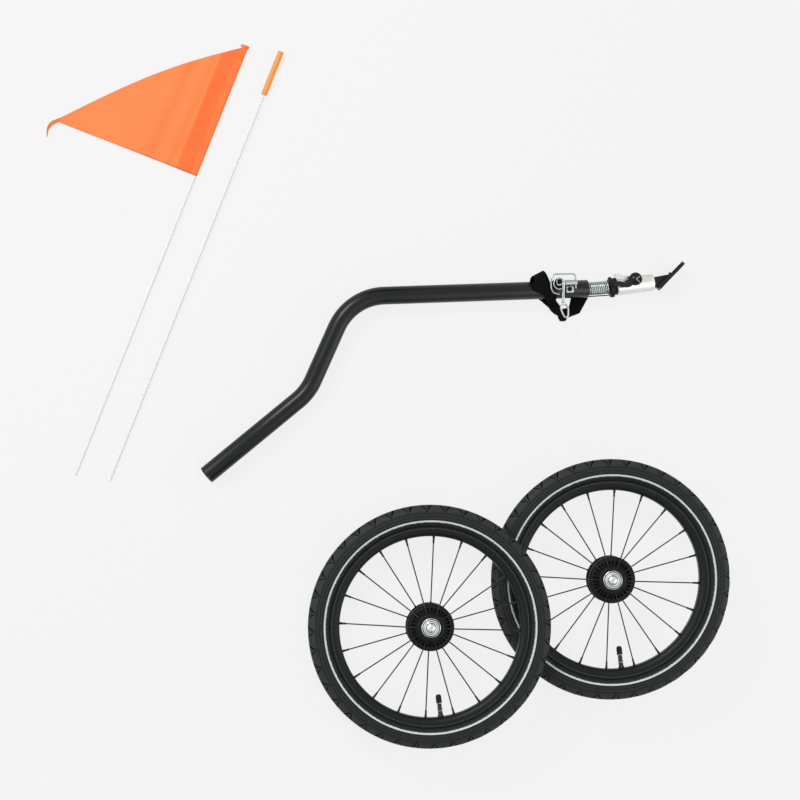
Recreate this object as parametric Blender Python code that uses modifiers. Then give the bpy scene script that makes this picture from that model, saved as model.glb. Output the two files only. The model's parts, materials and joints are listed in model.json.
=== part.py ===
"""Bicycle kit of a child trailer, laid out flat: bent drawbar with a spring hitch, two wheels, safety flag.

Metres, +Z up, the floor at Z = 0. Each group is built in a frame of its own, an empty that lays it out.
"""

import math

import bmesh
import bpy
from mathutils import Matrix, Vector

KIT_NAME = "trailer_bicycle_kit"
MERGE = 0.00001

# Wheel, in its own frame: Z is the axle, the outer side up
TYRE_RADIUS = 0.1925
TYRE_HALF_WIDTH = 0.0205
TREAD_PITCHES = 40
TREAD_DEPTH = 0.0018
BLOCK_MARGIN = 0.0021
RIM_TIP_RADIUS = 0.1584
RIM_BED_RADIUS = 0.1429
RIM_SEAT_RADIUS = 0.1528
HUB_STEPS = 30
SPOKE_COUNT = 20
SPOKE_SIDES = 4
SPOKE_CLOCK = math.radians(87.4)
SPOKE_RADIUS = 0.00095
NIPPLE_RADIUS = 0.0019
NIPPLE_LENGTH = 0.010
SPOKE_LEAN = math.radians(2.0)
FLANGE_RADIUS = 0.0375
HUB_BORE = 0.0145
VALVE_ANGLE = math.radians(-83.0)
VALVE_RADIUS = 0.0036
AXLE_RADIUS = 0.006
AXLE_TIP = -0.0443
PLUNGER_BORE = 0.0032
BALL_RADIUS = 0.002
BALL_HEIGHT = -0.0360
BALL_REACH = 0.00485
BUTTON_RADIUS = 0.0076

# The wheels lie like shingles, each on its tyre's left edge and its axle tip
WHEEL_LEAN = math.radians(8.2)
WHEEL_HEIGHT = 0.0446
WHEEL_PLACES = {"left": (0.0532, -0.3612), "right": (0.3502, -0.2905)}

# Drawbar, in its own frame: X runs along the top straight to the hitch, the tube's end at 0
TUBE_END = (0.3192, 0.1753, 0.01672)
TUBE_HEADING = math.radians(2.35)
TUBE_DROP = math.radians(0.224)
TUBE_RADIUS = 0.0142
TUBE_WALL = 0.002
TUBE_BEND_RADIUS = 0.088
TOP_STRAIGHT = 0.3883
MIDDLE_STRAIGHT = 0.1652
LOWER_STRAIGHT = 0.2070
UPPER_ELBOW = math.radians(63.3)
LOWER_ELBOW = math.radians(26.7)

# Coupling spring between the tube's end and the hitch head
SPRING_WIRE = 0.0011
SPRING_RADIUS = 0.00965
SPRING_TURNS = 10.8
SPRING_START = 0.0014
SPRING_END = 0.0345
SPRING_POINTS_A_TURN = 8
SPIGOT_RADIUS = 0.0072

# Hitch head, in its own frame: X along the head, the origin on the yaw axis inside the spring
YAW_PIVOT = 0.016
HEAD_YAW = math.radians(4.2)
COLLAR_START = 0.0202
HOUSING_START = 0.0320
HOUSING_END = 0.0949
HOUSING_BORE = 0.0080
PIN_PLACE = (0.0615, 0.0081)
PIN_RADIUS = 0.0030
SHANK_RADIUS = 0.0077
PLATE_START = (0.1059, -0.0132)
PLATE_ANGLE = math.radians(38.4)
PLATE_LEAN = math.radians(12.0)
PLATE_LENGTH = 0.0595
PLATE_THICKNESS = 0.006
PLATE_HALF_WIDTH = 0.015
AXLE_HOLE_RADIUS = 0.0065
AXLE_HOLE_ALONG = 0.0445

# Clip hardware on the tube, in the drawbar's frame
SCREW_PLACE = (-0.0515, 0.0122)
RING_PLACE = (-0.0515, 0.0091)
WIRE_LEVEL = 0.0192
HOOK_CENTRE = (-0.0524, 0.0122, 0.0250)
HOOK_RING = 0.0052
HOOK_TILT = math.radians(12.0)

# Flag and its two rods, on the floor
ROD_RADIUS = 0.002
UPPER_ROD = ((-0.5008, -0.1201, 0.0022), (-0.2320, 0.5521, 0.0036))
LOWER_ROD = ((-0.4479, -0.1299, 0.0022), (-0.1780, 0.5443, 0.0051))
SLEEVE_RADIUS = 0.00475
SLEEVE_LENGTH = 0.0735
HOIST_LENGTH = 0.2200
FLAG_REACH = 0.2270
FLAG_BULGE = 0.0150
FLAG_COLUMNS = 10
FLAG_ROWS = 3
TIP_WIDTH = 0.0080
HEM_TURN = math.radians(1.47)
CLOTH = 0.0008


def clear_scene():
    """Remove every object that the file starts with."""
    for item in list(bpy.data.objects):
        bpy.data.objects.remove(item, do_unlink=True)


def new_collection(name):
    """A collection linked to the scene."""
    group = bpy.data.collections.new(name)
    bpy.context.scene.collection.children.link(group)
    return group


def finish(name, colour, roughness, metallic=0.0):
    """A Principled material from an sRGB hex colour."""
    made = bpy.data.materials.new(name)
    made.use_nodes = True
    shader = made.node_tree.nodes["Principled BSDF"]
    value = int(colour, 16)
    parts = [((value >> shift) & 255) / 255.0 for shift in (16, 8, 0)]
    linear = [part / 12.92 if part <= 0.04045 else ((part + 0.055) / 1.055) ** 2.4 for part in parts]
    shader.inputs["Base Color"].default_value = (*linear, 1.0)
    shader.inputs["Roughness"].default_value = roughness
    shader.inputs["Metallic"].default_value = metallic
    return made


clear_scene()
PARTS = new_collection(KIT_NAME)
CUTTERS = new_collection("cutters")


def frame(name, place, turn=(0.0, 0.0, 0.0), parent=None):
    """An empty that carries a group of pieces."""
    empty = bpy.data.objects.new(name, None)
    empty.location = place
    empty.rotation_euler = turn
    empty.parent = parent
    PARTS.objects.link(empty)
    return empty


def add_object(name, data, parent, place=(0.0, 0.0, 0.0), turn=(0.0, 0.0, 0.0), look=None):
    """An object in the parts collection, or a cutter when it has no look."""
    piece = bpy.data.objects.new(name, data)
    piece.location = place
    piece.rotation_euler = turn
    piece.parent = parent
    if look is None:
        CUTTERS.objects.link(piece)
        piece.hide_render = True
        piece.display_type = "WIRE"
    else:
        PARTS.objects.link(piece)
        data.materials.append(look)
    return piece


def bake(piece):
    """Turn a piece with its modifiers, or a curve, into a plain mesh object at the same place."""
    bpy.context.view_layer.update()
    graph = bpy.context.evaluated_depsgraph_get()
    mesh = bpy.data.meshes.new_from_object(piece.evaluated_get(graph))
    shape = bmesh.new()
    shape.from_mesh(mesh)
    bmesh.ops.remove_doubles(shape, verts=shape.verts, dist=MERGE)
    shape.to_mesh(mesh)
    shape.free()
    name = piece.name
    solid = bpy.data.objects.new(name + "_solid", mesh)
    solid.parent = piece.parent
    solid.location = piece.location
    solid.rotation_euler = piece.rotation_euler
    solid.hide_render = piece.hide_render
    solid.display_type = piece.display_type
    for group in piece.users_collection:
        group.objects.link(solid)
    bpy.data.objects.remove(piece, do_unlink=True)
    solid.name = name
    return solid


def smooth(piece, angle=math.radians(35.0)):
    """Shade a round piece smooth, with its sharp edges kept."""
    piece.data.shade_smooth()
    piece.data.set_sharp_from_angle(angle=angle)


def turned(name, profile, steps, parent, look=None, closed=True, place=(0.0, 0.0, 0.0), turn=(0.0, 0.0, 0.0)):
    """Spin (radius, height) points round Z; they run down the outer side, from top to bottom."""
    mesh = bpy.data.meshes.new(name)
    points = [(radius, 0.0, height) for radius, height in profile]
    edges = [(index, index + 1) for index in range(len(points) - 1)]
    if closed:
        edges.append((len(points) - 1, 0))
    mesh.from_pydata(points, edges, [])
    piece = add_object(name, mesh, parent, place, turn, look)
    screw = piece.modifiers.new("spin", "SCREW")
    screw.steps = steps
    screw.render_steps = steps
    screw.use_merge_vertices = True
    screw.merge_threshold = MERGE
    screw.use_smooth_shade = False
    solid = bake(piece)
    smooth(solid)
    return solid


def rod(name, start, end, radius, sides, parent, look=None):
    """A straight round bar between two points."""
    shape = bmesh.new()
    run = Vector(end) - Vector(start)
    length = run.length
    bmesh.ops.create_cone(shape, cap_ends=True, segments=sides, radius1=radius, radius2=radius, depth=length)
    middle = (Vector(start) + Vector(end)) / 2
    aim = run.to_track_quat("Z", "Y").to_matrix().to_4x4()
    bmesh.ops.transform(shape, matrix=Matrix.Translation(middle) @ aim, verts=shape.verts)
    mesh = bpy.data.meshes.new(name)
    shape.to_mesh(mesh)
    shape.free()
    piece = add_object(name, mesh, parent, look=look)
    smooth(piece)
    return piece


def block(name, low, high, parent):
    """A box between two corners, to cut with."""
    shape = bmesh.new()
    size = Vector(high) - Vector(low)
    bmesh.ops.create_cube(shape, size=1.0)
    bmesh.ops.scale(shape, vec=size, verts=shape.verts)
    mesh = bpy.data.meshes.new(name)
    shape.to_mesh(mesh)
    shape.free()
    middle = (Vector(low) + Vector(high)) / 2
    return add_object(name, mesh, parent, middle)


def wire(name, points, radius, parent, look=None, closed=False, resolution=1):
    """A round wire along points, as a filled curve made solid."""
    curve = bpy.data.curves.new(name, "CURVE")
    curve.dimensions = "3D"
    curve.bevel_depth = radius
    curve.bevel_resolution = resolution
    curve.use_fill_caps = not closed
    curve.render_resolution_u = 0
    spline = curve.splines.new("POLY")
    spline.points.add(len(points) - 1)
    for target, point in zip(spline.points, points):
        target.co = (*point, 1.0)
    spline.use_cyclic_u = closed
    piece = bake(add_object(name, curve, parent, look=look))
    smooth(piece, math.radians(60.0))
    return piece


def prism(name, outline, bottom, top, parent, look=None, holes=(), place=(0.0, 0.0, 0.0), turn=(0.0,) * 3):
    """A flat outline, with any holes, given a thickness from bottom to top."""
    curve = bpy.data.curves.new(name, "CURVE")
    curve.dimensions = "2D"
    curve.fill_mode = "BOTH"
    curve.extrude = (top - bottom) / 2
    curve.render_resolution_u = 0
    for loop in (outline, *holes):
        spline = curve.splines.new("POLY")
        spline.points.add(len(loop) - 1)
        for target, point in zip(spline.points, loop):
            target.co = (point[0], point[1], 0.0, 1.0)
        spline.use_cyclic_u = True
    lift = Matrix.Translation((0.0, 0.0, (top + bottom) / 2))
    piece = bake(add_object(name, curve, parent, place, turn, look))
    piece.data.transform(lift)
    return piece


def arc(centre, radius, start, end, count):
    """Points of an arc in the XY plane, ends included."""
    sweep = [start + (end - start) * index / count for index in range(count + 1)]
    return [(centre[0] + radius * math.cos(angle), centre[1] + radius * math.sin(angle)) for angle in sweep]


def combine(piece, tool, operation="UNION"):
    """Join a tool to a piece, or cut it out."""
    step = piece.modifiers.new(tool.name, "BOOLEAN")
    step.operation = operation
    step.object = tool
    step.solver = "EXACT"


def copies(name, pattern, places, parent, look=None):
    """One object holding a copy of a mesh at each placement."""
    shape = bmesh.new()
    for place in places:
        known = set(shape.verts)
        shape.from_mesh(pattern.data)
        bmesh.ops.transform(shape, matrix=place, verts=[point for point in shape.verts if point not in known])
    mesh = bpy.data.meshes.new(name)
    shape.to_mesh(mesh)
    shape.free()
    return add_object(name, mesh, parent, look=look)


def polar(radius, angle, height=0.0):
    """A point from its radius, angle and height."""
    return Vector((radius * math.cos(angle), radius * math.sin(angle), height))


def mirrored(half):
    """A ring profile from its upper half, listed outside first and inwards."""
    return half + [(radius, -height) for radius, height in reversed(half)]


# Finishes, from the photograph
TYRE_RUBBER = finish("tyre rubber", "2f3130", 0.75)
TUBE_RUBBER = finish("butyl rubber", "191a1a", 0.6)
TAPE = finish("rim tape", "5a5d60", 0.7)
RIM_BLACK = finish("anodised black rim", "2b2d2c", 0.45, 0.6)
SPOKE_BLACK = finish("black hub and spokes", "1b1d1c", 0.5)
BEARING_STEEL = finish("bearing steel", "b9bdbe", 0.3, 1.0)
CAP_CHROME = finish("chromed cap", "d5dad8", 0.2, 1.0)
ZINC = finish("bright zinc", "c9cfcf", 0.3, 1.0)
ALUMINIUM = finish("turned aluminium", "d9dad8", 0.35, 1.0)
POWDER_BLACK = finish("black powder coat", "2c2e2c", 0.5)
PLASTIC_BLACK = finish("black nylon", "202221", 0.55)
WEBBING = finish("black webbing", "1c1c1c", 0.85)
STRAP_RUBBER = finish("black strap rubber", "222322", 0.7)
FIBREGLASS = finish("white fibreglass", "e4e6df", 0.4)
ORANGE_SLEEVE = finish("orange sleeve", "f9983a", 0.45)
ORANGE_CLOTH = finish("orange pennant", "ff8a50", 0.7)


def raise_tread(piece):
    """Raise a block with sloping sides on each shoulder face, which leaves the V notches between them."""
    shape = bmesh.new()
    shape.from_mesh(piece.data)
    blocks = []
    for face in shape.faces:
        middle = face.calc_center_median()
        if math.hypot(middle.x, middle.y) > 0.186 and abs(middle.z) > 0.009:
            blocks.append(face)
    bmesh.ops.inset_individual(
        shape, faces=blocks, thickness=BLOCK_MARGIN, depth=TREAD_DEPTH, use_even_offset=True
    )
    shape.to_mesh(piece.data)
    shape.free()


def build_tyre(side, wheel):
    """Open tyre: tread, sidewalls and two beads that sit inside the rim."""
    outer = [
        (0.1532, 0.0113),
        (0.1592, 0.0115),
        (0.1700, TYRE_HALF_WIDTH),
        (0.1826, 0.0180),
        (TYRE_RADIUS - 0.0008, 0.0062),
    ]
    inner = [(0.1545, 0.0080), (0.1715, 0.0170), (0.1858, 0.0095)]
    loop = mirrored(outer) + list(reversed(mirrored(inner)))
    piece = turned("tyre_" + side, loop, TREAD_PITCHES, wheel, TYRE_RUBBER, turn=(0.0, 0.0, SPOKE_CLOCK))
    raise_tread(piece)


def build_inner_tube(side, wheel):
    """Inner tube with its rubber-covered valve stem, and the valve's cap."""
    section = arc((0.1712, 0.0), 0.0132, math.pi / 2, -3 * math.pi / 2, 6)[:-1]
    clock = (0.0, 0.0, SPOKE_CLOCK)
    tube = turned("inner_tube_" + side, section, TREAD_PITCHES // 2, wheel, TUBE_RUBBER, turn=clock)
    foot = polar(0.1600, VALVE_ANGLE)
    stem = rod("stem_" + side, foot, polar(0.1225, VALVE_ANGLE), VALVE_RADIUS, 8, wheel)
    combine(tube, stem)
    profile = [(0.0, 0.0145), (0.0032, 0.0145), (0.0045, 0.0125), (0.0045, 0.0), (0.0, 0.0)]
    aim = Vector(polar(-1.0, VALVE_ANGLE)).to_track_quat("Z", "Y").to_euler()
    turned("valve_cap_" + side, profile, 8, wheel, PLASTIC_BLACK, False, polar(0.1222, VALVE_ANGLE), aim)


def build_rim(side, wheel):
    """Rim with hooked flanges, and the tape that covers its well; both have a hole for the valve."""
    upper = [
        (RIM_BED_RADIUS, 0.0072),
        (0.1500, 0.0126),
        (RIM_TIP_RADIUS, 0.0137),
        (RIM_TIP_RADIUS, 0.0121),
        (RIM_SEAT_RADIUS, 0.0118),
        (0.1492, 0.0050),
    ]
    loop = mirrored(upper)
    rim = turned("rim_" + side, loop, TREAD_PITCHES, wheel, RIM_BLACK, turn=(0.0, 0.0, SPOKE_CLOCK))
    hole = rod("valve_hole_" + side, polar(0.135, VALVE_ANGLE), polar(0.156, VALVE_ANGLE), 0.0042, 10, wheel)
    combine(rim, hole, "DIFFERENCE")
    band = [(0.1551, 0.0062), (0.1551, -0.0062), (0.1543, -0.0062), (0.1543, 0.0062)]
    tape = turned("rim_tape_" + side, band, TREAD_PITCHES // 2, wheel, TAPE, turn=(0.0, 0.0, SPOKE_CLOCK))
    combine(tape, hole, "DIFFERENCE")


def spoke_pattern(name, length):
    """One spoke with its nipple, along Z from the hub."""
    profile = [
        (0.0, length),
        (NIPPLE_RADIUS, length),
        (NIPPLE_RADIUS, length - NIPPLE_LENGTH),
        (SPOKE_RADIUS, length - NIPPLE_LENGTH - 0.001),
        (SPOKE_RADIUS, 0.0),
        (0.0, 0.0),
    ]
    return turned(name, profile, SPOKE_SIDES, None, closed=False)


def spoke_set(name, wheel, first, hub_radius, hub_height, rim_height):
    """Ten spokes, every second one of the wheel, leaning to and fro at the hub."""
    ends = []
    for index in range(SPOKE_COUNT // 2):
        angle = SPOKE_CLOCK - (first + 2 * index) * 2 * math.pi / SPOKE_COUNT
        lean = SPOKE_LEAN if index % 2 else -SPOKE_LEAN
        start = polar(hub_radius, angle + lean, hub_height)
        end = polar(RIM_BED_RADIUS - 0.0004, angle, rim_height)
        ends.append((start, end))
    length = (ends[0][1] - ends[0][0]).length
    pattern = spoke_pattern(name + "_pattern", length)
    places = []
    for start, end in ends:
        aim = (end - start).to_track_quat("Z", "Y").to_matrix().to_4x4()
        places.append(Matrix.Translation(start) @ aim)
    made = copies(name, pattern, places, wheel)
    bpy.data.objects.remove(pattern, do_unlink=True)
    return made


def build_hub(side, wheel):
    """Moulded hub: a ribbed front flange and a rear one, each with its spokes, a barrel and two bearings."""
    profile = [
        (0.0163, 0.0240),
        (0.0203, 0.0240),
        (0.0245, 0.0186),
        (0.0310, 0.0170),
        (FLANGE_RADIUS, 0.0155),
        (FLANGE_RADIUS, 0.0105),
        (0.0163, 0.0092),
    ]
    on_rib = SPOKE_CLOCK - 2 * math.pi / SPOKE_COUNT
    front = turned("hub_front_" + side, profile, HUB_STEPS, wheel, SPOKE_BLACK, turn=(0.0, 0.0, on_rib))
    cut_pockets(front)
    combine(front, spoke_set("front_spokes_" + side, wheel, 1, 0.0222, 0.0204, 0.0025))
    profile = [
        (HUB_BORE, -0.0130),
        (FLANGE_RADIUS, -0.0140),
        (FLANGE_RADIUS, -0.0172),
        (0.0240, -0.0192),
        (HUB_BORE, -0.0192),
    ]
    rear = turned("hub_rear_" + side, profile, SPOKE_COUNT, wheel, SPOKE_BLACK, turn=(0.0, 0.0, SPOKE_CLOCK))
    combine(rear, spoke_set("rear_spokes_" + side, wheel, 0, 0.0340, -0.0156, -0.0025))
    barrel = [(HUB_BORE, 0.0088), (0.0176, 0.0088), (0.0176, -0.0126), (HUB_BORE, -0.0126)]
    turned("hub_barrel_" + side, barrel, 12, wheel, SPOKE_BLACK)
    for place, bottom in (("outer", 0.0025), ("inner", -0.0180)):
        ring = [(AXLE_RADIUS + 0.0003, bottom + 0.008), (0.0139, bottom + 0.008), (0.0139, bottom)]
        ring.append((AXLE_RADIUS + 0.0003, bottom))
        turned("bearing_" + place + "_" + side, ring, 12, wheel, BEARING_STEEL)


def cut_pockets(front):
    """Sink a pocket in each face of the ring between boss and edge, which leaves the thin moulded ribs."""
    shape = bmesh.new()
    shape.from_mesh(front.data)
    pockets = []
    for face in shape.faces:
        middle = face.calc_center_median()
        if 0.0250 < math.hypot(middle.x, middle.y) < 0.0305 and middle.z > 0.016:
            pockets.append(face)
    bmesh.ops.inset_individual(shape, faces=pockets, thickness=0.0008, use_even_offset=True)
    sunk = bmesh.ops.extrude_discrete_faces(shape, faces=pockets)
    points = {point for face in sunk["faces"] for point in face.verts}
    bmesh.ops.translate(shape, vec=(0.0, 0.0, -0.0045), verts=list(points))
    shape.to_mesh(front.data)
    shape.free()


def build_axle(side, wheel):
    """Quick-release stub axle: hollow shaft, stepped cap, sprung button with plunger, two locking balls."""
    tip = AXLE_TIP
    profile = [
        (PLUNGER_BORE, 0.0120),
        (AXLE_RADIUS, 0.0120),
        (AXLE_RADIUS, -0.0183),
        (0.0090, -0.0183),
        (0.0090, -0.0215),
        (AXLE_RADIUS, -0.0225),
        (AXLE_RADIUS, tip + 0.0012),
        (AXLE_RADIUS - 0.0012, tip),
        (PLUNGER_BORE, tip),
    ]
    shaft = turned("axle_" + side, profile, 12, wheel, ZINC)
    reach = 0.012
    ends = [(0.0, way * reach, BALL_HEIGHT) for way in (-1, 1)]
    hole = rod("ball_hole_" + side, *ends, BALL_RADIUS + 0.0002, 8, wheel)
    combine(shaft, hole, "DIFFERENCE")
    profile = [
        (0.0079, 0.0272),
        (0.0100, 0.0272),
        (0.0104, 0.0262),
        (0.0136, 0.0264),
        (0.0158, 0.0244),
        (0.0155, 0.0205),
        (0.0092, 0.0123),
        (PLUNGER_BORE, 0.0123),
        (PLUNGER_BORE, 0.0133),
        (0.0079, 0.0133),
    ]
    turned("axle_cap_" + side, profile, 18, wheel, CAP_CHROME)
    profile = [
        (0.0, 0.0305),
        (0.0040, 0.0300),
        (0.0068, 0.0284),
        (BUTTON_RADIUS, 0.0266),
        (BUTTON_RADIUS, 0.0252),
        (0.0026, 0.0252),
        (0.0026, BALL_HEIGHT + 0.0075),
        (0.0014, BALL_HEIGHT + 0.0062),
        (0.0026, BALL_HEIGHT + 0.0010),
        (0.0026, BALL_HEIGHT - 0.0010),
        (0.0029, BALL_HEIGHT - 0.0020),
        (0.0029, BALL_HEIGHT - 0.0035),
        (0.0, BALL_HEIGHT - 0.0035),
    ]
    turned("release_button_" + side, profile, 12, wheel, CAP_CHROME, False)
    turns = 4
    count = turns * 7
    coil = []
    for index in range(count + 1):
        share = index / count
        coil.append(polar(0.0055, share * turns * 2 * math.pi, 0.0139 + share * 0.0107))
    print("button spring least gap", round(0.0107 / turns - 0.0009, 5))
    wire("button_spring_" + side, coil, 0.00045, wheel, ZINC, resolution=0)
    for letter, way in (("a", 1), ("b", -1)):
        shape = bmesh.new()
        bmesh.ops.create_uvsphere(shape, u_segments=6, v_segments=5, radius=BALL_RADIUS)
        mesh = bpy.data.meshes.new("lock_ball")
        shape.to_mesh(mesh)
        shape.free()
        name = "lock_ball_" + side + "_" + letter
        smooth(add_object(name, mesh, wheel, (0.0, way * BALL_REACH, BALL_HEIGHT), look=BEARING_STEEL))


def build_wheel(side):
    """One wheel, lying on its tyre's left edge and its axle tip."""
    place = WHEEL_PLACES[side]
    wheel = frame("wheel_frame_" + side, (place[0], place[1], WHEEL_HEIGHT), (0.0, -WHEEL_LEAN, 0.0))
    build_tyre(side, wheel)
    build_inner_tube(side, wheel)
    build_rim(side, wheel)
    build_hub(side, wheel)
    build_axle(side, wheel)


def bent_path(corners, radius, step):
    """Points along straight runs joined by arcs of one radius, in the XY plane."""
    points = [corners[0]]
    for before, corner, after in zip(corners, corners[1:], corners[2:]):
        arriving = (Vector(corner) - Vector(before)).normalized()
        leaving = (Vector(after) - Vector(corner)).normalized()
        bend = arriving.angle_signed(leaving)
        setback = radius * math.tan(abs(bend) / 2)
        start = Vector(corner) - arriving * setback
        side = 1.0 if bend < 0 else -1.0
        centre = start + side * radius * Vector((-arriving.y, arriving.x))
        count = max(2, round(abs(bend) / step))
        first = math.atan2(start.y - centre.y, start.x - centre.x)
        points += arc(centre, radius, first, first + side * abs(bend), count)
    points.append(corners[-1])
    return points


def tube_corners():
    """Corners of the drawbar's centre line, from the hitch end back to the lower end."""
    end = Vector((0.0, 0.0))
    upper = Vector((-TOP_STRAIGHT, 0.0))
    lower = upper - MIDDLE_STRAIGHT * Vector((math.cos(UPPER_ELBOW), math.sin(UPPER_ELBOW)))
    heading = UPPER_ELBOW - LOWER_ELBOW
    foot = lower - LOWER_STRAIGHT * Vector((math.cos(heading), math.sin(heading)))
    return [foot, lower, upper, end]


def build_tube(drawbar):
    """Bent tube, open at its lower end, with the spring's plug in its hitch end."""
    curve = bpy.data.curves.new("drawbar_tube", "CURVE")
    curve.dimensions = "3D"
    curve.bevel_depth = TUBE_RADIUS
    curve.bevel_resolution = 6
    curve.render_resolution_u = 0
    spline = curve.splines.new("POLY")
    points = bent_path(tube_corners(), TUBE_BEND_RADIUS, math.radians(10.0))
    spline.points.add(len(points) - 1)
    for target, point in zip(spline.points, points):
        target.co = (point[0], point[1], 0.0, 1.0)
    tube = bake(add_object("drawbar_tube", curve, drawbar, look=POWDER_BLACK))
    smooth(tube, math.radians(60.0))
    wall = tube.modifiers.new("wall", "SOLIDIFY")
    wall.thickness = TUBE_WALL
    wall.offset = -1.0
    profile = [
        (0.0, 0.0060),
        (SPIGOT_RADIUS, 0.0060),
        (SPIGOT_RADIUS, -0.0005),
        (0.0117, -0.0005),
        (0.0117, -0.0450),
        (0.0, -0.0450),
    ]
    plug = turned("tube_plug", profile, 16, drawbar, PLASTIC_BLACK, False, turn=(0.0, math.pi / 2, 0.0))
    hole = rod("plug_screw_hole", (-0.0334, 0.0, 0.004), (-0.0334, 0.0, 0.018), 0.0022, 10, drawbar)
    combine(tube, hole, "DIFFERENCE")
    combine(plug, hole, "DIFFERENCE")
    shell = [(0.0157, -0.0265), (0.0157, -0.0385), (0.0146, -0.0385), (0.0146, -0.0265)]
    washer = turned("saddle_washer", shell, 24, drawbar, ZINC, turn=(0.0, math.pi / 2, 0.0))
    window = block("washer_window", (-0.05, -0.0055, 0.0), (-0.02, 0.0075, 0.02), drawbar)
    combine(washer, window, "INTERSECT")
    combine(washer, hole, "DIFFERENCE")
    profile = [(0.0, 0.0183), (0.0026, 0.0181), (0.0038, 0.0172), (0.0038, 0.0160)]
    profile += [(0.0019, 0.0160), (0.0019, 0.0060), (0.0, 0.0060)]
    turned("plug_screw", profile, 10, drawbar, PLASTIC_BLACK, False, (-0.0334, 0.0, 0.0))


def spring_line(along):
    """Centre line of the spring, which sets off straight from the tube and arrives along the hitch head."""
    bend = math.tan(HEAD_YAW) / (2 * SPRING_END)
    return Vector((along, bend * along * along, 0.0)), math.atan(2 * bend * along)


def build_spring(drawbar):
    """Round-wire coil spring, one unbroken wire, with its least gap printed."""
    count = round(SPRING_TURNS * SPRING_POINTS_A_TURN)
    points = []
    for index in range(count + 1):
        share = index / count
        centre, slope = spring_line(SPRING_START + share * (SPRING_END - SPRING_START))
        angle = share * SPRING_TURNS * 2 * math.pi
        across = Vector((-math.sin(slope), math.cos(slope), 0.0))
        out = math.cos(angle) * across + math.sin(angle) * Vector((0.0, 0.0, 1.0))
        points.append(centre + SPRING_RADIUS * out)
    gap = min(
        (first - second).length
        for index, first in enumerate(points)
        for second in points[index + SPRING_POINTS_A_TURN // 2:]
    )
    print("coupling spring least gap", round(gap - 2 * SPRING_WIRE, 5))
    wire("coupling_spring", points, SPRING_WIRE, drawbar, ZINC)
    start = (0.0006, -0.0127)
    end = (0.0352, -0.0117)
    outline = [(start[0], start[1] - 0.0008), (end[0], end[1] - 0.0008), (end[0], end[1] + 0.0008)]
    outline.append((start[0], start[1] + 0.0008))
    prism("safety_band", outline, -0.006, 0.006, drawbar, WEBBING)


def build_head(head):
    """Hitch head: collar, aluminium housing, lock pin with its retaining strap, and the bicycle's bracket."""
    along = (0.0, math.pi / 2, 0.0)
    profile = [(0.0, 0.0150), (0.0014, 0.0150), (0.0024, 0.0136)]
    profile += [(0.0024, -0.0085), (0.0014, -0.0097), (0.0, -0.0097)]
    turned("flex_link", profile, 10, head, ZINC, False, turn=along)
    profile = [
        (0.0, 0.0395),
        (0.0096, 0.0395),
        (0.0096, HOUSING_START - 0.0003),
        (0.0138, HOUSING_START - 0.0003),
        (0.0138, 0.0212),
        (0.0130, COLLAR_START),
        (SPIGOT_RADIUS, COLLAR_START),
        (SPIGOT_RADIUS, 0.0156),
        (0.0, 0.0156),
    ]
    collar = turned("head_collar", profile, 20, head, PLASTIC_BLACK, False, turn=along)
    combine(collar, rod("collar_lug", (0.0232, 0.0138, -0.004), (0.0232, 0.0138, 0.004), 0.0021, 10, head))
    low, high = ((0.0247, -0.0142, level) for level in (-0.0062, 0.0062))
    combine(collar, rod("band_clamp", low, high, 0.0030, 10, head))
    profile = [
        (0.0, 0.0460),
        (HOUSING_BORE, 0.0460),
        (HOUSING_BORE, HOUSING_END),
        (0.0126, HOUSING_END),
        (0.0131, 0.0942),
        (0.0152, 0.0330),
        (0.0146, HOUSING_START),
        (0.0100, HOUSING_START),
        (0.0100, 0.0410),
        (0.0, 0.0410),
    ]
    housing = turned("hitch_housing", profile, 24, head, ALUMINIUM, False, turn=along)
    ear = [(0.0322, 0.0100), (0.0318, 0.0196), (0.0372, 0.0198)]
    ear += [(0.0425, 0.0158), (0.0520, 0.0152), (0.0560, 0.0090)]
    combine(housing, prism("housing_ear", ear, -0.0045, 0.0105, head))
    window = block("strap_window", (0.0300, -0.0035, 0.0105), (0.0500, 0.0088, 0.0200), head)
    combine(housing, window, "DIFFERENCE")
    pin_hole = rod("pin_hole", (*PIN_PLACE, -0.0100), (*PIN_PLACE, 0.0200), PIN_RADIUS + 0.0003, 14, head)
    combine(housing, pin_hole, "DIFFERENCE")


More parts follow.
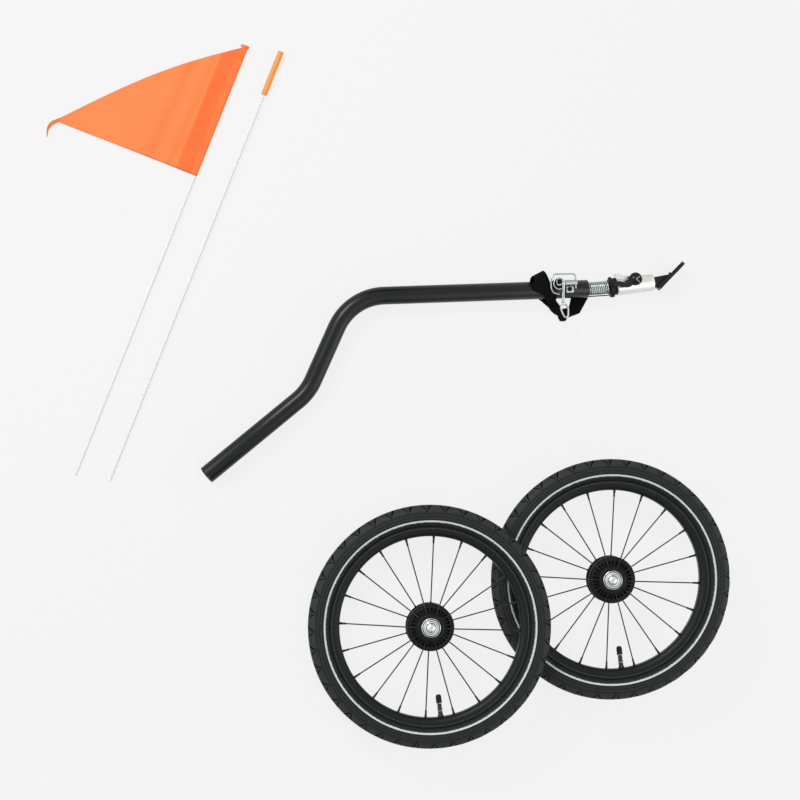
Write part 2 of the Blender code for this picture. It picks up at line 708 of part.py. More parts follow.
def build_lock_pin(head):
    """Steel lock pin, its black knob and spring clip, and the rubber strap that keeps it."""
    profile = [(0.0, 0.0186), (0.0045, 0.0186), (0.0045, 0.0146), (PIN_RADIUS, 0.0146)]
    profile += [(PIN_RADIUS, -0.0080), (PIN_RADIUS - 0.001, -0.0090), (0.0, -0.0090)]
    turned("lock_pin", profile, 14, head, ZINC, False, (*PIN_PLACE, 0.0))
    profile = [(0.0, 0.0250), (0.0045, 0.0247), (0.0070, 0.0232)]
    profile += [(0.0076, 0.0210), (0.0066, 0.0189), (0.0, 0.0189)]
    place = (PIN_PLACE[0] + 0.0022, PIN_PLACE[1] - 0.0010, 0.0)
    turned("pin_knob", profile, 12, head, PLASTIC_BLACK, False, place)
    tip = (PIN_PLACE[0] - 0.0018, PIN_PLACE[1] + 0.0002, 0.0262)
    upper = (tip[0] + 0.0065, tip[1] + 0.0030, 0.0262)
    lower = (tip[0] + 0.0050, tip[1] - 0.0058, 0.0262)
    wire("pin_clip", [upper, tip, lower], 0.0006, head, ZINC)
    ring = arc(PIN_PLACE, 0.0105, math.radians(160.0), math.radians(-125.0), 16)
    low_side = [(0.0530, -0.0030), (0.0460, -0.0042), (0.0380, -0.0024), (0.0300, 0.0000), (0.0235, 0.0004)]
    high_side = [(0.0235, 0.0078), (0.0320, 0.0076), (0.0380, 0.0066), (0.0425, 0.0046), (0.0470, 0.0080)]
    eye = arc(PIN_PLACE, 0.0051, 0.0, 2 * math.pi, 14)[:-1]
    strap = prism("pin_strap", ring + low_side + high_side, 0.0149, 0.0181, head, STRAP_RUBBER, [eye])
    combine(strap, rod("strap_foot", (0.0265, 0.0040, 0.0141), (0.0265, 0.0040, 0.0160), 0.0028, 10, head))


def build_bracket(head):
    """The bicycle's bracket: a grooved shank that swivels in the housing, a tongue and the axle plate."""
    groove = PIN_PLACE[0]
    profile = [
        (0.0, 0.0960),
        (SHANK_RADIUS, 0.0960),
        (SHANK_RADIUS, groove + 0.0036),
        (0.0048, groove + 0.0036),
        (0.0048, groove - 0.0036),
        (SHANK_RADIUS, groove - 0.0036),
        (SHANK_RADIUS, 0.0485),
        (SHANK_RADIUS - 0.0012, 0.0470),
        (0.0, 0.0470),
    ]
    bracket = turned("hitch_bracket", profile, 16, head, POWDER_BLACK, False, turn=(0.0, math.pi / 2, 0.0))
    outline = [
        (0.0952, -0.0077),
        (0.1010, -0.0108),
        (0.1060, -0.0122),
        (0.1250, 0.0040),
        (0.1239, 0.0099),
        (0.0952, 0.0077),
    ]
    combine(bracket, prism("tongue", outline, -0.0074, 0.0074, head))
    width = PLATE_HALF_WIDTH
    end = PLATE_LENGTH - width
    outline = [(0.0, -width + 0.003), (0.003, -width)]
    outline += arc((end, 0.0), width, -math.pi / 2, math.pi / 2, 10)
    outline += [(0.003, width), (0.0, width - 0.003)]
    hole = arc((AXLE_HOLE_ALONG, 0.0), AXLE_HOLE_RADIUS, 0.0, 2 * math.pi, 14)[:-1]
    plate_turn = (math.pi / 2 - PLATE_LEAN, 0.0, PLATE_ANGLE)
    place = (*PLATE_START, 0.0)
    plate = prism("plate", outline, -PLATE_THICKNESS, 0.0, head, holes=[hole], place=place, turn=plate_turn)
    combine(bracket, plate)
    combine(bracket, rod("plate_lug", (0.1262, 0.0080, 0.0), (0.1246, 0.0122, 0.0), 0.0020, 8, head))


def build_clip_hardware(drawbar):
    """Ring pin, wire bail and snap hook, kept on the tube by a screw in a moulded boss."""
    x, y = SCREW_PLACE
    seat = WIRE_LEVEL - 0.0016
    boss = rod("anchor_boss", (*RING_PLACE, 0.004), (*RING_PLACE, seat), 0.0086, 16, drawbar, PLASTIC_BLACK)
    combine(boss, rod("anchor_neck", (x, y, 0.0060), (x, y, 0.0216), 0.0034, 12, drawbar))
    seat = rod("tube_seat", (-0.08, 0.0, 0.0), (0.0, 0.0, 0.0), TUBE_RADIUS + 0.0005, 24, drawbar)
    combine(boss, seat, "DIFFERENCE")
    combine(boss, rod("screw_clearance", (x, y, 0.0150), (x, y, 0.0300), 0.0021, 10, drawbar), "DIFFERENCE")
    profile = [(0.0, 0.0286), (0.0016, 0.0283), (0.0025, 0.0272), (0.0025, 0.0265)]
    profile += [(0.0018, 0.0262), (0.0018, 0.0155), (0.0, 0.0155)]
    turned("anchor_screw", profile, 10, drawbar, PLASTIC_BLACK, False, (x, y, 0.0))
    ring = [(*point, WIRE_LEVEL) for point in arc(RING_PLACE, 0.0087, 0.0, 2 * math.pi, 16)[:-1]]
    pin = wire("ring_pin", ring, 0.0013, drawbar, ZINC, closed=True)
    near, far = ((along, 0.0102, WIRE_LEVEL - 0.0004) for along in (-0.0424, -0.0215))
    combine(pin, rod("pin_barrel", near, far, 0.0043, 14, drawbar))
    hinge = rod("bail_hole", (-0.0240, 0.0, WIRE_LEVEL), (-0.0240, 0.02, WIRE_LEVEL), 0.0017, 10, drawbar)
    combine(pin, hinge, "DIFFERENCE")
    bail = [(-0.0240, 0.0010), (-0.0240, 0.0180)]
    bail += arc((-0.0290, 0.0190), 0.0050, 0.0, math.pi / 2, 3)
    bail += arc((-0.0540, 0.0140), 0.0106, math.radians(100.0), math.pi, 4)
    bail += arc((-0.0540, 0.0035), 0.0106, math.pi, math.radians(245.0), 3)
    bail.append((-0.0515, -0.0078))
    wire("wire_bail", [(*point, WIRE_LEVEL) for point in bail], 0.0013, drawbar, ZINC)


def hook_point(across, along, height=0.0):
    """A point of the snap hook, measured from its nose's centre along its tilted plane."""
    return (
        HOOK_CENTRE[0] + across,
        HOOK_CENTRE[1] + along * math.cos(HOOK_TILT) - height * math.sin(HOOK_TILT),
        HOOK_CENTRE[2] + along * math.sin(HOOK_TILT) + height * math.cos(HOOK_TILT),
    )


def build_snap_hook(drawbar):
    """Snap hook round the anchor screw, with its sprung gate and swivel eye."""
    sweep = arc((0.0, 0.0), HOOK_RING, math.radians(-128.0), math.radians(126.0), 14)
    hook = wire("snap_hook", [hook_point(*point) for point in sweep], 0.0015, drawbar, ZINC)
    body = [hook_point(0.0068, along) for along in (0.0025, -0.0330)]
    combine(hook, rod("hook_body", *body, 0.0024, 12, drawbar))
    low = hook_point(-0.0044, -0.0022)
    high = hook_point(-0.0044, 0.0026)
    rod("snap_gate", low, high, 0.0009, 8, drawbar, ZINC)
    loop = [
        hook_point(0.0068, -0.0360),
        hook_point(0.0124, -0.0403),
        hook_point(0.0149, -0.0437),
        hook_point(0.0152, -0.0558),
        hook_point(0.0130, -0.0580),
        hook_point(0.0090, -0.0572),
        hook_point(0.0032, -0.0450),
        hook_point(0.0030, -0.0403),
    ]
    eye = wire("snap_swivel", loop, 0.0015, drawbar, ZINC, closed=True)
    barrel = [hook_point(0.0068, along) for along in (-0.0334, -0.0372)]
    combine(eye, rod("swivel_barrel", *barrel, 0.0024, 12, drawbar))


def ribbon(name, edges, thickness, parent, look=None):
    """A strap between its two edges, as a surface with Solidify."""
    shape = bmesh.new()
    rows = [[shape.verts.new(point) for point in pair] for pair in edges]
    for first, second in zip(rows, rows[1:]):
        shape.faces.new((first[0], second[0], second[1], first[1]))
    mesh = bpy.data.meshes.new(name)
    shape.to_mesh(mesh)
    shape.free()
    piece = add_object(name, mesh, parent, look=look)
    body = piece.modifiers.new("thickness", "SOLIDIFY")
    body.thickness = thickness
    body.offset = 0.0
    return piece


def build_webbing(drawbar):
    """Safety strap in one piece: a flat V under the tube, folded up behind it and brought over its front."""
    outline = [
        (-0.0910, -0.0040),
        (-0.0731, -0.0170),
        (-0.0470, -0.0408),
        (-0.0456, -0.0462),
        (-0.0410, -0.0510),
        (-0.0303, -0.0452),
        (-0.0100, -0.0390),
        (0.0056, -0.0139),
        (0.0000, -0.0050),
        (-0.0210, -0.0050),
        (-0.0272, -0.0283),
        (-0.0380, -0.0310),
        (-0.0500, -0.0146),
        (-0.0500, -0.0050),
        (-0.0650, -0.0040),
    ]
    strap = prism("safety_strap", outline, -0.0160, -0.0147, drawbar, WEBBING)
    edges = [
        ((-0.0910, -0.0060, -0.01535), (-0.0640, -0.0060, -0.01535)),
        ((-0.0910, 0.0080, -0.01535), (-0.0660, 0.0090, -0.01535)),
        ((-0.0910, 0.0165, -0.0125), (-0.0690, 0.0200, -0.0130)),
        ((-0.0908, 0.0215, -0.0050), (-0.0710, 0.0290, -0.0060)),
        ((-0.0906, 0.0222, 0.0040), (-0.0720, 0.0308, 0.0030)),
        ((-0.0906, 0.0195, 0.0120), (-0.0700, 0.0260, 0.0115)),
        ((-0.0910, 0.0100, 0.0162), (-0.0669, 0.0150, 0.0165)),
        ((-0.0916, 0.0000, 0.0162), (-0.0665, 0.0065, 0.0168)),
        ((-0.0800, -0.0070, 0.0150), (-0.0610, 0.0000, 0.0168)),
        ((-0.0715, -0.0128, 0.0092), (-0.0550, -0.0085, 0.0135)),
        ((-0.0680, -0.0180, 0.0010), (-0.0535, -0.0165, 0.0050)),
        ((-0.0640, -0.0270, -0.0060), (-0.0505, -0.0250, -0.0030)),
        ((-0.0580, -0.0365, -0.0040), (-0.0460, -0.0340, 0.0020)),
        ((-0.0500, -0.0435, 0.0062), (-0.0395, -0.0435, 0.0096)),
        ((-0.0475, -0.0485, 0.0043), (-0.0385, -0.0490, 0.0067)),
        ((-0.0455, -0.0500, -0.0060), (-0.0395, -0.0505, -0.0050)),
        ((-0.0448, -0.0485, -0.0153), (-0.0395, -0.0485, -0.0153)),
    ]
    combine(strap, ribbon("strap_front", edges, 0.0013, drawbar))


def rod_frame(name, ends):
    """A frame with Z along a rod, from its foot to its top, and X level, to the right of it."""
    foot, top = (Vector(end) for end in ends)
    length = (top - foot).length
    heading = math.atan2(top.y - foot.y, top.x - foot.x)
    rise = math.asin((top.z - foot.z) / length)
    turn = Matrix.Rotation(heading, 3, "Z") @ Matrix.Rotation(math.pi / 2 - rise, 3, "Y")
    return frame(name, foot, turn.to_euler()), length


def build_flag():
    """Pennant on the upper rod, and the lower rod with the sleeve that joins them."""
    upper, length = rod_frame("upper_rod_frame", UPPER_ROD)
    rod("upper_rod", (0, 0, 0), (0, 0, length - 0.004), ROD_RADIUS, 8, upper, FIBREGLASS)
    lower, length = rod_frame("lower_rod_frame", LOWER_ROD)
    rod("lower_rod", (0, 0, 0), (0, 0, length - SLEEVE_LENGTH / 2), ROD_RADIUS, 8, lower, FIBREGLASS)
    bore = ROD_RADIUS + 0.0003
    start = length - SLEEVE_LENGTH
    profile = [(bore, length), (SLEEVE_RADIUS, length), (SLEEVE_RADIUS, start + 0.002)]
    profile += [(SLEEVE_RADIUS - 0.001, start), (bore, start)]
    turned("joining_sleeve", profile, 12, lower, ORANGE_SLEEVE)
    build_pennant(upper)


def build_pennant(upper):
    """Triangular pennant: a hem tube round the rod and one sheet with soft waves and a curled tip."""
    top = (Vector(UPPER_ROD[1]) - Vector(UPPER_ROD[0])).length - 0.0005
    bore = ROD_RADIUS + 0.0003
    pennant = rod("pennant", (0, 0, top - HOIST_LENGTH), (0, 0, top), bore + CLOTH, 10, upper, ORANGE_CLOTH)
    edges = []
    for column in range(FLAG_COLUMNS + 1):
        share = column / FLAG_COLUMNS
        high = TIP_WIDTH - HOIST_LENGTH + (HOIST_LENGTH - TIP_WIDTH) * (1 - share)
        high += FLAG_BULGE * math.sin(math.pi * share)
        wave = 0.0016 * (1 - math.cos(2.4 * math.pi * share)) * share
        reach = FLAG_REACH * share
        edges.append(((reach, -HOIST_LENGTH, wave), (reach, high if column else 0.0, wave + 0.0006 * share)))
    curl = [((0.2335, -0.0078), (0.2385, -0.0040)), ((0.2372, -0.0178), (0.2410, -0.0160))]
    curl.append(((0.2352, -0.0295), (0.2368, -0.0290)))
    for index, (low, high) in enumerate(curl):
        rise = 0.004 + 0.0045 * index
        low_end = (low[0], low[1] - HOIST_LENGTH, rise)
        edges.append((low_end, (high[0], high[1] - HOIST_LENGTH, rise + 0.003)))
    shape = bmesh.new()
    grid = []
    for low, high in edges:
        line = []
        for row in range(FLAG_ROWS + 1):
            reach, along, height = Vector(low).lerp(Vector(high), row / FLAG_ROWS)
            across = reach * math.cos(HEM_TURN) + along * math.sin(HEM_TURN)
            down = along * math.cos(HEM_TURN) - reach * math.sin(HEM_TURN)
            line.append(shape.verts.new((-height, across, top + down)))
        grid.append(line)
    for left, right in zip(grid, grid[1:]):
        for index in range(FLAG_ROWS):
            shape.faces.new((left[index], left[index + 1], right[index + 1], right[index]))
    mesh = bpy.data.meshes.new("sheet")
    shape.to_mesh(mesh)
    shape.free()
    sheet = add_object("pennant_sheet", mesh, upper)
    body = sheet.modifiers.new("thickness", "SOLIDIFY")
    body.thickness = CLOTH
    body.offset = 0.0
    combine(pennant, sheet)
    hem_bore = rod("hem_bore", (0, 0, top - 1.1 * HOIST_LENGTH), (0, 0, top + 0.01), bore, 10, upper)
    combine(pennant, hem_bore, "DIFFERENCE")


def build_drawbar():
    """Drawbar with its hitch, laid with its lower end and its strap on the floor."""
    drawbar = frame("drawbar_frame", TUBE_END, (0.0, -TUBE_DROP, TUBE_HEADING))
    build_tube(drawbar)
    build_spring(drawbar)
    head = frame("head_frame", (YAW_PIVOT, 0.0, 0.0), (0.0, 0.0, HEAD_YAW), drawbar)
    build_head(head)
    build_lock_pin(head)
    build_bracket(head)
    build_clip_hardware(drawbar)
    build_snap_hook(drawbar)
    build_webbing(drawbar)


def main():
    """Build the whole kit."""
    for side in WHEEL_PLACES:
        build_wheel(side)
    build_drawbar()
    build_flag()


main()
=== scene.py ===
"""Looks of the trailer's bicycle kit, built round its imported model: finer pieces, finishes and a stage."""

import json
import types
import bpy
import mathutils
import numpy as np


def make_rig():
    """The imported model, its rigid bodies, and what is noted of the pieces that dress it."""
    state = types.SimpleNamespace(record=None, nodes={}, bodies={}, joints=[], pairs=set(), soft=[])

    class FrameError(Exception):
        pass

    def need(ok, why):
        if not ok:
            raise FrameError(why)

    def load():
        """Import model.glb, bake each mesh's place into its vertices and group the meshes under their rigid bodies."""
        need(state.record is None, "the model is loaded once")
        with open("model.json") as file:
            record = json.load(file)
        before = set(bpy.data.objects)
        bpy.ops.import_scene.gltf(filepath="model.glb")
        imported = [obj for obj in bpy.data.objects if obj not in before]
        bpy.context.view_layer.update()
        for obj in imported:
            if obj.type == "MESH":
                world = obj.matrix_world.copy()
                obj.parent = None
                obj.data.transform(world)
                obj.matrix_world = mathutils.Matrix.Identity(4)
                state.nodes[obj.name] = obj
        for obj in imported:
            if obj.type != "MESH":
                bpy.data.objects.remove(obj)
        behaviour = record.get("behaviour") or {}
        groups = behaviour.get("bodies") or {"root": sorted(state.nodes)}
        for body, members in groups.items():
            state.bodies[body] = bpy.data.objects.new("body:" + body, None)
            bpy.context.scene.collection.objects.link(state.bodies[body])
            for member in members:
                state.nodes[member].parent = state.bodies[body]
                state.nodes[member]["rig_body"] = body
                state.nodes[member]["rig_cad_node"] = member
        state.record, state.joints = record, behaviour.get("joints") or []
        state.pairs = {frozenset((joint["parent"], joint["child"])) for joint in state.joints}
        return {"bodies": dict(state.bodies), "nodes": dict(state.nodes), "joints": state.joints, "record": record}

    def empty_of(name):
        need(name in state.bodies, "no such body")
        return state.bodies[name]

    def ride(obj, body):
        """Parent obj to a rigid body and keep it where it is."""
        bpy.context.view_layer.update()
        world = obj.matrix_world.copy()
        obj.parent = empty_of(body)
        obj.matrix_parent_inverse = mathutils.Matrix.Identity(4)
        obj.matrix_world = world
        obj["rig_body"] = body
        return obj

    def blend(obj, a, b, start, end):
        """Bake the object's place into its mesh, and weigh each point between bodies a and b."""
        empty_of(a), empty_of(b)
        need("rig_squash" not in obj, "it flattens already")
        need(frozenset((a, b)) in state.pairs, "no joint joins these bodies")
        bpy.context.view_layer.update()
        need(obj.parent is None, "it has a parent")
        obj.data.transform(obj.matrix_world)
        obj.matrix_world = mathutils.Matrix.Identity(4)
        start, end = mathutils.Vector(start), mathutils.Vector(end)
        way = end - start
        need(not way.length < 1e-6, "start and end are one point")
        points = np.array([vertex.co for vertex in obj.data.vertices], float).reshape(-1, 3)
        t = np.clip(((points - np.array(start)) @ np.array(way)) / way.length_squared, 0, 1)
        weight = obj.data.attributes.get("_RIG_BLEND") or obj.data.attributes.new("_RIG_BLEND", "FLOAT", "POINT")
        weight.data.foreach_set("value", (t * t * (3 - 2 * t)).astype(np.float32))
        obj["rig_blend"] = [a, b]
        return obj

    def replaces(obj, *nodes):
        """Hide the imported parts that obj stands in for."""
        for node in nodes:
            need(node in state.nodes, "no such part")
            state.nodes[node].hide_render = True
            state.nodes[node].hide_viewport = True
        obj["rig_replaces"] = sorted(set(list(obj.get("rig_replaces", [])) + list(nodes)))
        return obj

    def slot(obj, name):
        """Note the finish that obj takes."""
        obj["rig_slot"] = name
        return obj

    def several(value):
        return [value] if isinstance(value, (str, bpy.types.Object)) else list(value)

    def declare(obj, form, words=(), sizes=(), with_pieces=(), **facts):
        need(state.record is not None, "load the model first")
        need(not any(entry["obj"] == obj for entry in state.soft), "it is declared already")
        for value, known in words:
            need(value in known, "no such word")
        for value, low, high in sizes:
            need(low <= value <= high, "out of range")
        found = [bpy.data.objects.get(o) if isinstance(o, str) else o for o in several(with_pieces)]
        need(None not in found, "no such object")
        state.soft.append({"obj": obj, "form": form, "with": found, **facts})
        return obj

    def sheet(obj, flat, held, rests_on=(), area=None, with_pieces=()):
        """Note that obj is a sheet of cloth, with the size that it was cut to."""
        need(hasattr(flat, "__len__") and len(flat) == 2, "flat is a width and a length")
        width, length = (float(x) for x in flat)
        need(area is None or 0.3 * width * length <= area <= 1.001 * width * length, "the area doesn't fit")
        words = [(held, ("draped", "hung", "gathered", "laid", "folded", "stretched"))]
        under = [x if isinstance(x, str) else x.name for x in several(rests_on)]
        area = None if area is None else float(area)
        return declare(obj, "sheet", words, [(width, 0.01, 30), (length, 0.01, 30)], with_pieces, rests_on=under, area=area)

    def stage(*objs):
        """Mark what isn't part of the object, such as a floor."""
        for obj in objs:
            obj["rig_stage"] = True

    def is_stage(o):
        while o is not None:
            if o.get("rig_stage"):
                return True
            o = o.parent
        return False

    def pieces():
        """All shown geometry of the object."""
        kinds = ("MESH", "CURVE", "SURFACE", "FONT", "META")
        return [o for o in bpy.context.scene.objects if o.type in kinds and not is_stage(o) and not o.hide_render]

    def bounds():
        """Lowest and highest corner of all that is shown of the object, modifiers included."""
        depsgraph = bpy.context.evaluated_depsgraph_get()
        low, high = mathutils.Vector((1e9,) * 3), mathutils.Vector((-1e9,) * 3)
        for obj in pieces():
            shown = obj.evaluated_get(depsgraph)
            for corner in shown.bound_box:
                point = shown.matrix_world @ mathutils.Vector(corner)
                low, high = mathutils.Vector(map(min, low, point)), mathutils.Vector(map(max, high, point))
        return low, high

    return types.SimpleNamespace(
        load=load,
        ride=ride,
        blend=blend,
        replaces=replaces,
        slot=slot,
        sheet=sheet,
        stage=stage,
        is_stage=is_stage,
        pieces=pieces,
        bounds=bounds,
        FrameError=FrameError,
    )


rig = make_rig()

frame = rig.load()

import json
import math

import bmesh
import bpy
from mathutils import Matrix, Vector

bl_info = {
    "name": "Trailer Bicycle Kit",
    "version": (1, 0, 0),
    "blender": (4, 5, 0),
    "location": "View3D > Sidebar > Trailer Kit",
    "description": "Builds the finer pieces, finishes and stage of a child trailer's bicycle kit",
    "category": "Object",
}

CAD_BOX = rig.bounds()
NODES = frame["nodes"]
MM = 0.001
ROUND = 2.0 * math.pi
UP = Vector((0.0, 0.0, 1.0))

# Wheel, as the CAD lays it: Z is the axle, the outer side up
WHEEL_LEAN = math.radians(8.2)
WHEEL_HEIGHT = 0.0446
WHEEL_PLACES = {"left": (0.0532, -0.3612), "right": (0.3502, -0.2905)}
TYRE_RADIUS = 0.1925
TREAD_PITCHES = 40
RIM_SEAT = 0.1428
VALVE_ANGLE = math.radians(-83.0)
VALVE_SEAT = 0.1225
TUBE_CENTRE = 0.1712
TUBE_SECTION = 0.0128

# Bands of the tyre by radius: shoulder blocks, ribs, stripe and knurls
BLOCK_RADIUS = 0.1862
RIB_RADII = (0.1800, 0.1752, 0.1704)
STRIPE_RADII = (0.1688, 0.1646)
STRIPE_EDGE = 0.1670
KNURL_RADIUS = 0.1613
KNURL_HALF = 0.0026
KNURL_COUNT = 420.0

# Hub
HUB_POCKETS = 30
POCKET_DEPTH = 5.5

# Spokes: the first one's angle, and for each flange its first spoke, hub radius, hub height and rim height
SPOKE_CLOCK = math.radians(87.4)
SPOKE_COUNT = 20
SPOKE_LEAN = math.radians(2.0)
FRONT_FLANGE = (1, 0.0222, 0.0204, 0.0025)
REAR_FLANGE = (0, 0.0340, -0.0156, -0.0025)

# Drawbar, as the CAD lays it: X runs along the top straight to the hitch, the tube's end at 0
TUBE_END = (0.3192, 0.1753, 0.01672)
TUBE_HEADING = math.radians(2.35)
TUBE_DROP = math.radians(0.224)
TUBE_RADIUS = 0.0142
TUBE_WALL = 0.002
TUBE_EDGE = 0.0004
BEND_RADIUS = 0.088
BEND_STEP = math.radians(2.5)
TOP_STRAIGHT = 0.3883
MIDDLE_STRAIGHT = 0.1652
LOWER_STRAIGHT = 0.2070
UPPER_ELBOW = math.radians(63.3)
LOWER_ELBOW = math.radians(26.7)
YAW_PIVOT = 0.016
HEAD_YAW = math.radians(4.2)

# Lock pin, in millimetres along and across the hitch head
PIN_PLACE = (61.5, 8.1)

# Coupling spring between the tube's end and the hitch head, and the band under it
SPRING_RADIUS = 0.00965
SPRING_TURNS = 10.8
SPRING_START = 0.0014
SPRING_MIDDLE = 0.0215
SPRING_END = 0.0345
SPRING_SPLIT = 0.6
BAND_START = (0.0006, -0.0127, 0.0)
BAND_END = (0.0352, -0.0117, 0.0)
BAND_WIDTH = 0.0112

# Safety strap of woven webbing
STRAP_WIDTH = 0.0255
STRAP_HALF = 0.00065

# Clip hardware: height of its ring over the tube's middle and the hook's tilt
RING_LEVEL = 19.2
HOOK_TILT = math.radians(12.0)

# Flag rods, foot and top, and the pennant
UPPER_ROD = ((-0.5008, -0.1201, 0.0022), (-0.2320, 0.5521, 0.0036))
LOWER_ROD = ((-0.4479, -0.1299, 0.0022), (-0.1780, 0.5443, 0.0051))
ROD_RADIUS = 2.0
SLEEVE_LENGTH = 0.0735
HOIST_LENGTH = 0.2200
FLAG_REACH = 0.2270
FLAG_BULGE = 0.0150
TIP_WIDTH = 0.008
HEM_TURN = math.radians(1.47)
HEM_RADIUS = 0.00255
CLOTH_ROWS = 44

# Camera of the photograph
CAMERA_LEAN = math.radians(12.5)
CAMERA_DISTANCE = 4.5
CAMERA_TARGET = Vector((0.0149, -0.0036, 0.0))

# Textures: strength of every relief, and how far apart a wave texture's bands lie at scale 1
RELIEF = 0.8
WAVE_BAND = math.pi / 10

# Spacing of drawn threads and tool rings in millimetres, and of the webbing's yarn as a share of its rib
THREAD = 1.7765
CROSSING = 0.7003


def linear(text):
    """The linear colour of an sRGB hex value, with its alpha."""
    value = int(text, 16)
    parts = [((value >> shift) & 255) / 255.0 for shift in (16, 8, 0)]
    return (*(p / 12.92 if p <= 0.04045 else ((p + 0.055) / 1.055) ** 2.4 for p in parts), 1.0)


def colour(name, text, about):
    """A colour property."""
    return bpy.props.FloatVectorProperty(
        name=name, description=about, subtype="COLOR", size=4, min=0.0, max=1.0, default=linear(text)
    )


def size(name, millimetres, about):
    """A length property."""
    return bpy.props.FloatProperty(name=name, description=about, unit="LENGTH", default=millimetres * MM)


class WheelSettings(bpy.types.PropertyGroup):
    """Sizes and colours of the wheels."""

    tyre: colour("Tyre", "121413", "Rubber of the tyre")
    stripe: colour("Stripe", "dde1e0", "Reflecting stripe on the sidewall")
    rim: colour("Rim", "1b1d1c", "Anodised rim")
    spokes: colour("Spokes", "151716", "Coated spokes and nipples")
    cap: colour("Cap", "d5dad8", "Chromed cap and release button")
    groove_depth: size("Tread groove depth", 1.9, "Depth of the V grooves in the shoulder")
    block_crown: size("Block crown", 0.9, "How far each shoulder block stands proud")
    spoke_radius: size("Spoke radius", 1.0, "Half of the spoke's thickness")


class DrawbarSettings(bpy.types.PropertyGroup):
    """Sizes and colours of the drawbar and its hitch."""

    tube: colour("Tube", "0f1110", "Powder coat of the tube and bracket")
    zinc: colour("Zinc", "b4baba", "Plated steel wire and pins")
    casting: colour("Casting", "e6e7e5", "Turned aluminium housing")
    plastic: colour("Plastic", "0c0e0d", "Moulded black nylon")
    webbing: colour("Webbing", "0e0e0e", "Woven strap")
    rib: size("Webbing rib", 2.9608, "Spacing of the strap's woven ribs")
    spring_wire: size("Spring wire radius", 1.1, "Half of the coupling spring's wire")


class FlagSettings(bpy.types.PropertyGroup):
    """Sizes and colours of the safety flag."""

    cloth: colour("Cloth", "ff8a50", "Body of the pennant")
    sleeve: colour("Sleeve", "f9983a", "Sleeve that joins the rods")
    rods: colour("Rods", "e4e6df", "Fibreglass rods")
    hem: size("Hem width", 29.0, "Double layer along the rod")
    stitch: size("Stitch length", 3.2, "Length of one stitch")


def settings(group):
    """The settings of one group of pieces."""
    return getattr(bpy.context.scene, group)


# Materials


def add(tree, kind, inputs=None, to=None, **values):
    """Add a shader node with its values, inputs and links; a node as an input gives its first output."""
    node = tree.nodes.new("ShaderNode" + kind)
    for name, value in values.items():
        setattr(node, name, value)
    for socket, value in (inputs or {}).items():
        if isinstance(value, bpy.types.Node):
            value = value.outputs[0]
        if isinstance(value, bpy.types.NodeSocket):
            tree.links.new(value, node.inputs[socket])
        else:
            node.inputs[socket].default_value = value
    for socket, target in (to or {}).items():
        tree.links.new(node.outputs[socket], target)
    return node


def surface(name, base, roughness, metallic=0.0, **more):
    """A Principled material with its base values, its tree and the piece's own coordinates."""
    made = bpy.data.materials.new(name)
    made.use_nodes = True
    tree = made.node_tree
    values = {"Base Color": base, "Roughness": roughness, "Metallic": metallic}
    values.update({key.replace("_", " "): value for key, value in more.items()})
    for socket, value in values.items():
        tree.nodes["Principled BSDF"].inputs[socket].default_value = value
    return made, tree, add(tree, "TexCoord").outputs["Object"]


def varied(made, pattern, tones, rough=None, depth=0.0, height=None, gloss=None):
    """Let a pattern vary a material's colour, and its roughness and relief (in metres) where it has them."""
    tree = made.node_tree
    into = tree.nodes["Principled BSDF"].inputs
    add(tree, "Mix", {0: pattern, 6: tones[0], 7: tones[1]}, {2: into["Base Color"]}, data_type="RGBA")
    if rough:
        span = {"Value": gloss or pattern, "To Min": rough[0], "To Max": rough[1]}
        add(tree, "MapRange", span, {"Result": into["Roughness"]})
    if depth:
        bump = {"Height": height or pattern, "Distance": depth, "Strength": RELIEF}
        add(tree, "Bump", bump, {"Normal": into["Normal"]})
    return made


def grained(name, base, roughness, metallic, grain, detail, tones, rough=None, depth=0.0, **more):
    """A material that one noise varies, its grain in millimetres."""
    made, tree, place = surface(name, base, roughness, metallic, **more)
    noise = add(tree, "TexNoise", {"Vector": place, "Scale": per(grain), "Detail": detail})
    return varied(made, noise, tones, rough, depth)


def shades(base, *factors):
    """A colour made darker or lighter, once for each factor."""
    return [(*(min(1.0, part * factor) for part in base[:3]), 1.0) for factor in factors]


def per(millimetres):
    """Texture scale at which one feature measures so many millimetres."""
    return 1000.0 / millimetres


def wheel_radius(tree, place):
    """Distance from the wheel's axle."""
    flat = add(tree, "VectorMath", {0: place, 1: (1.0, 1.0, 0.0)}, operation="MULTIPLY")
    return add(tree, "VectorMath", {0: flat}, operation="LENGTH").outputs["Value"]


def wheel_angle(tree, place):
    """Angle round the wheel's axle, and height along it."""
    split = add(tree, "SeparateXYZ", {0: place})
    turn = add(tree, "Math", {0: split.outputs["Y"], 1: split.outputs["X"]}, operation="ARCTAN2")
    return turn, split.outputs["Z"]


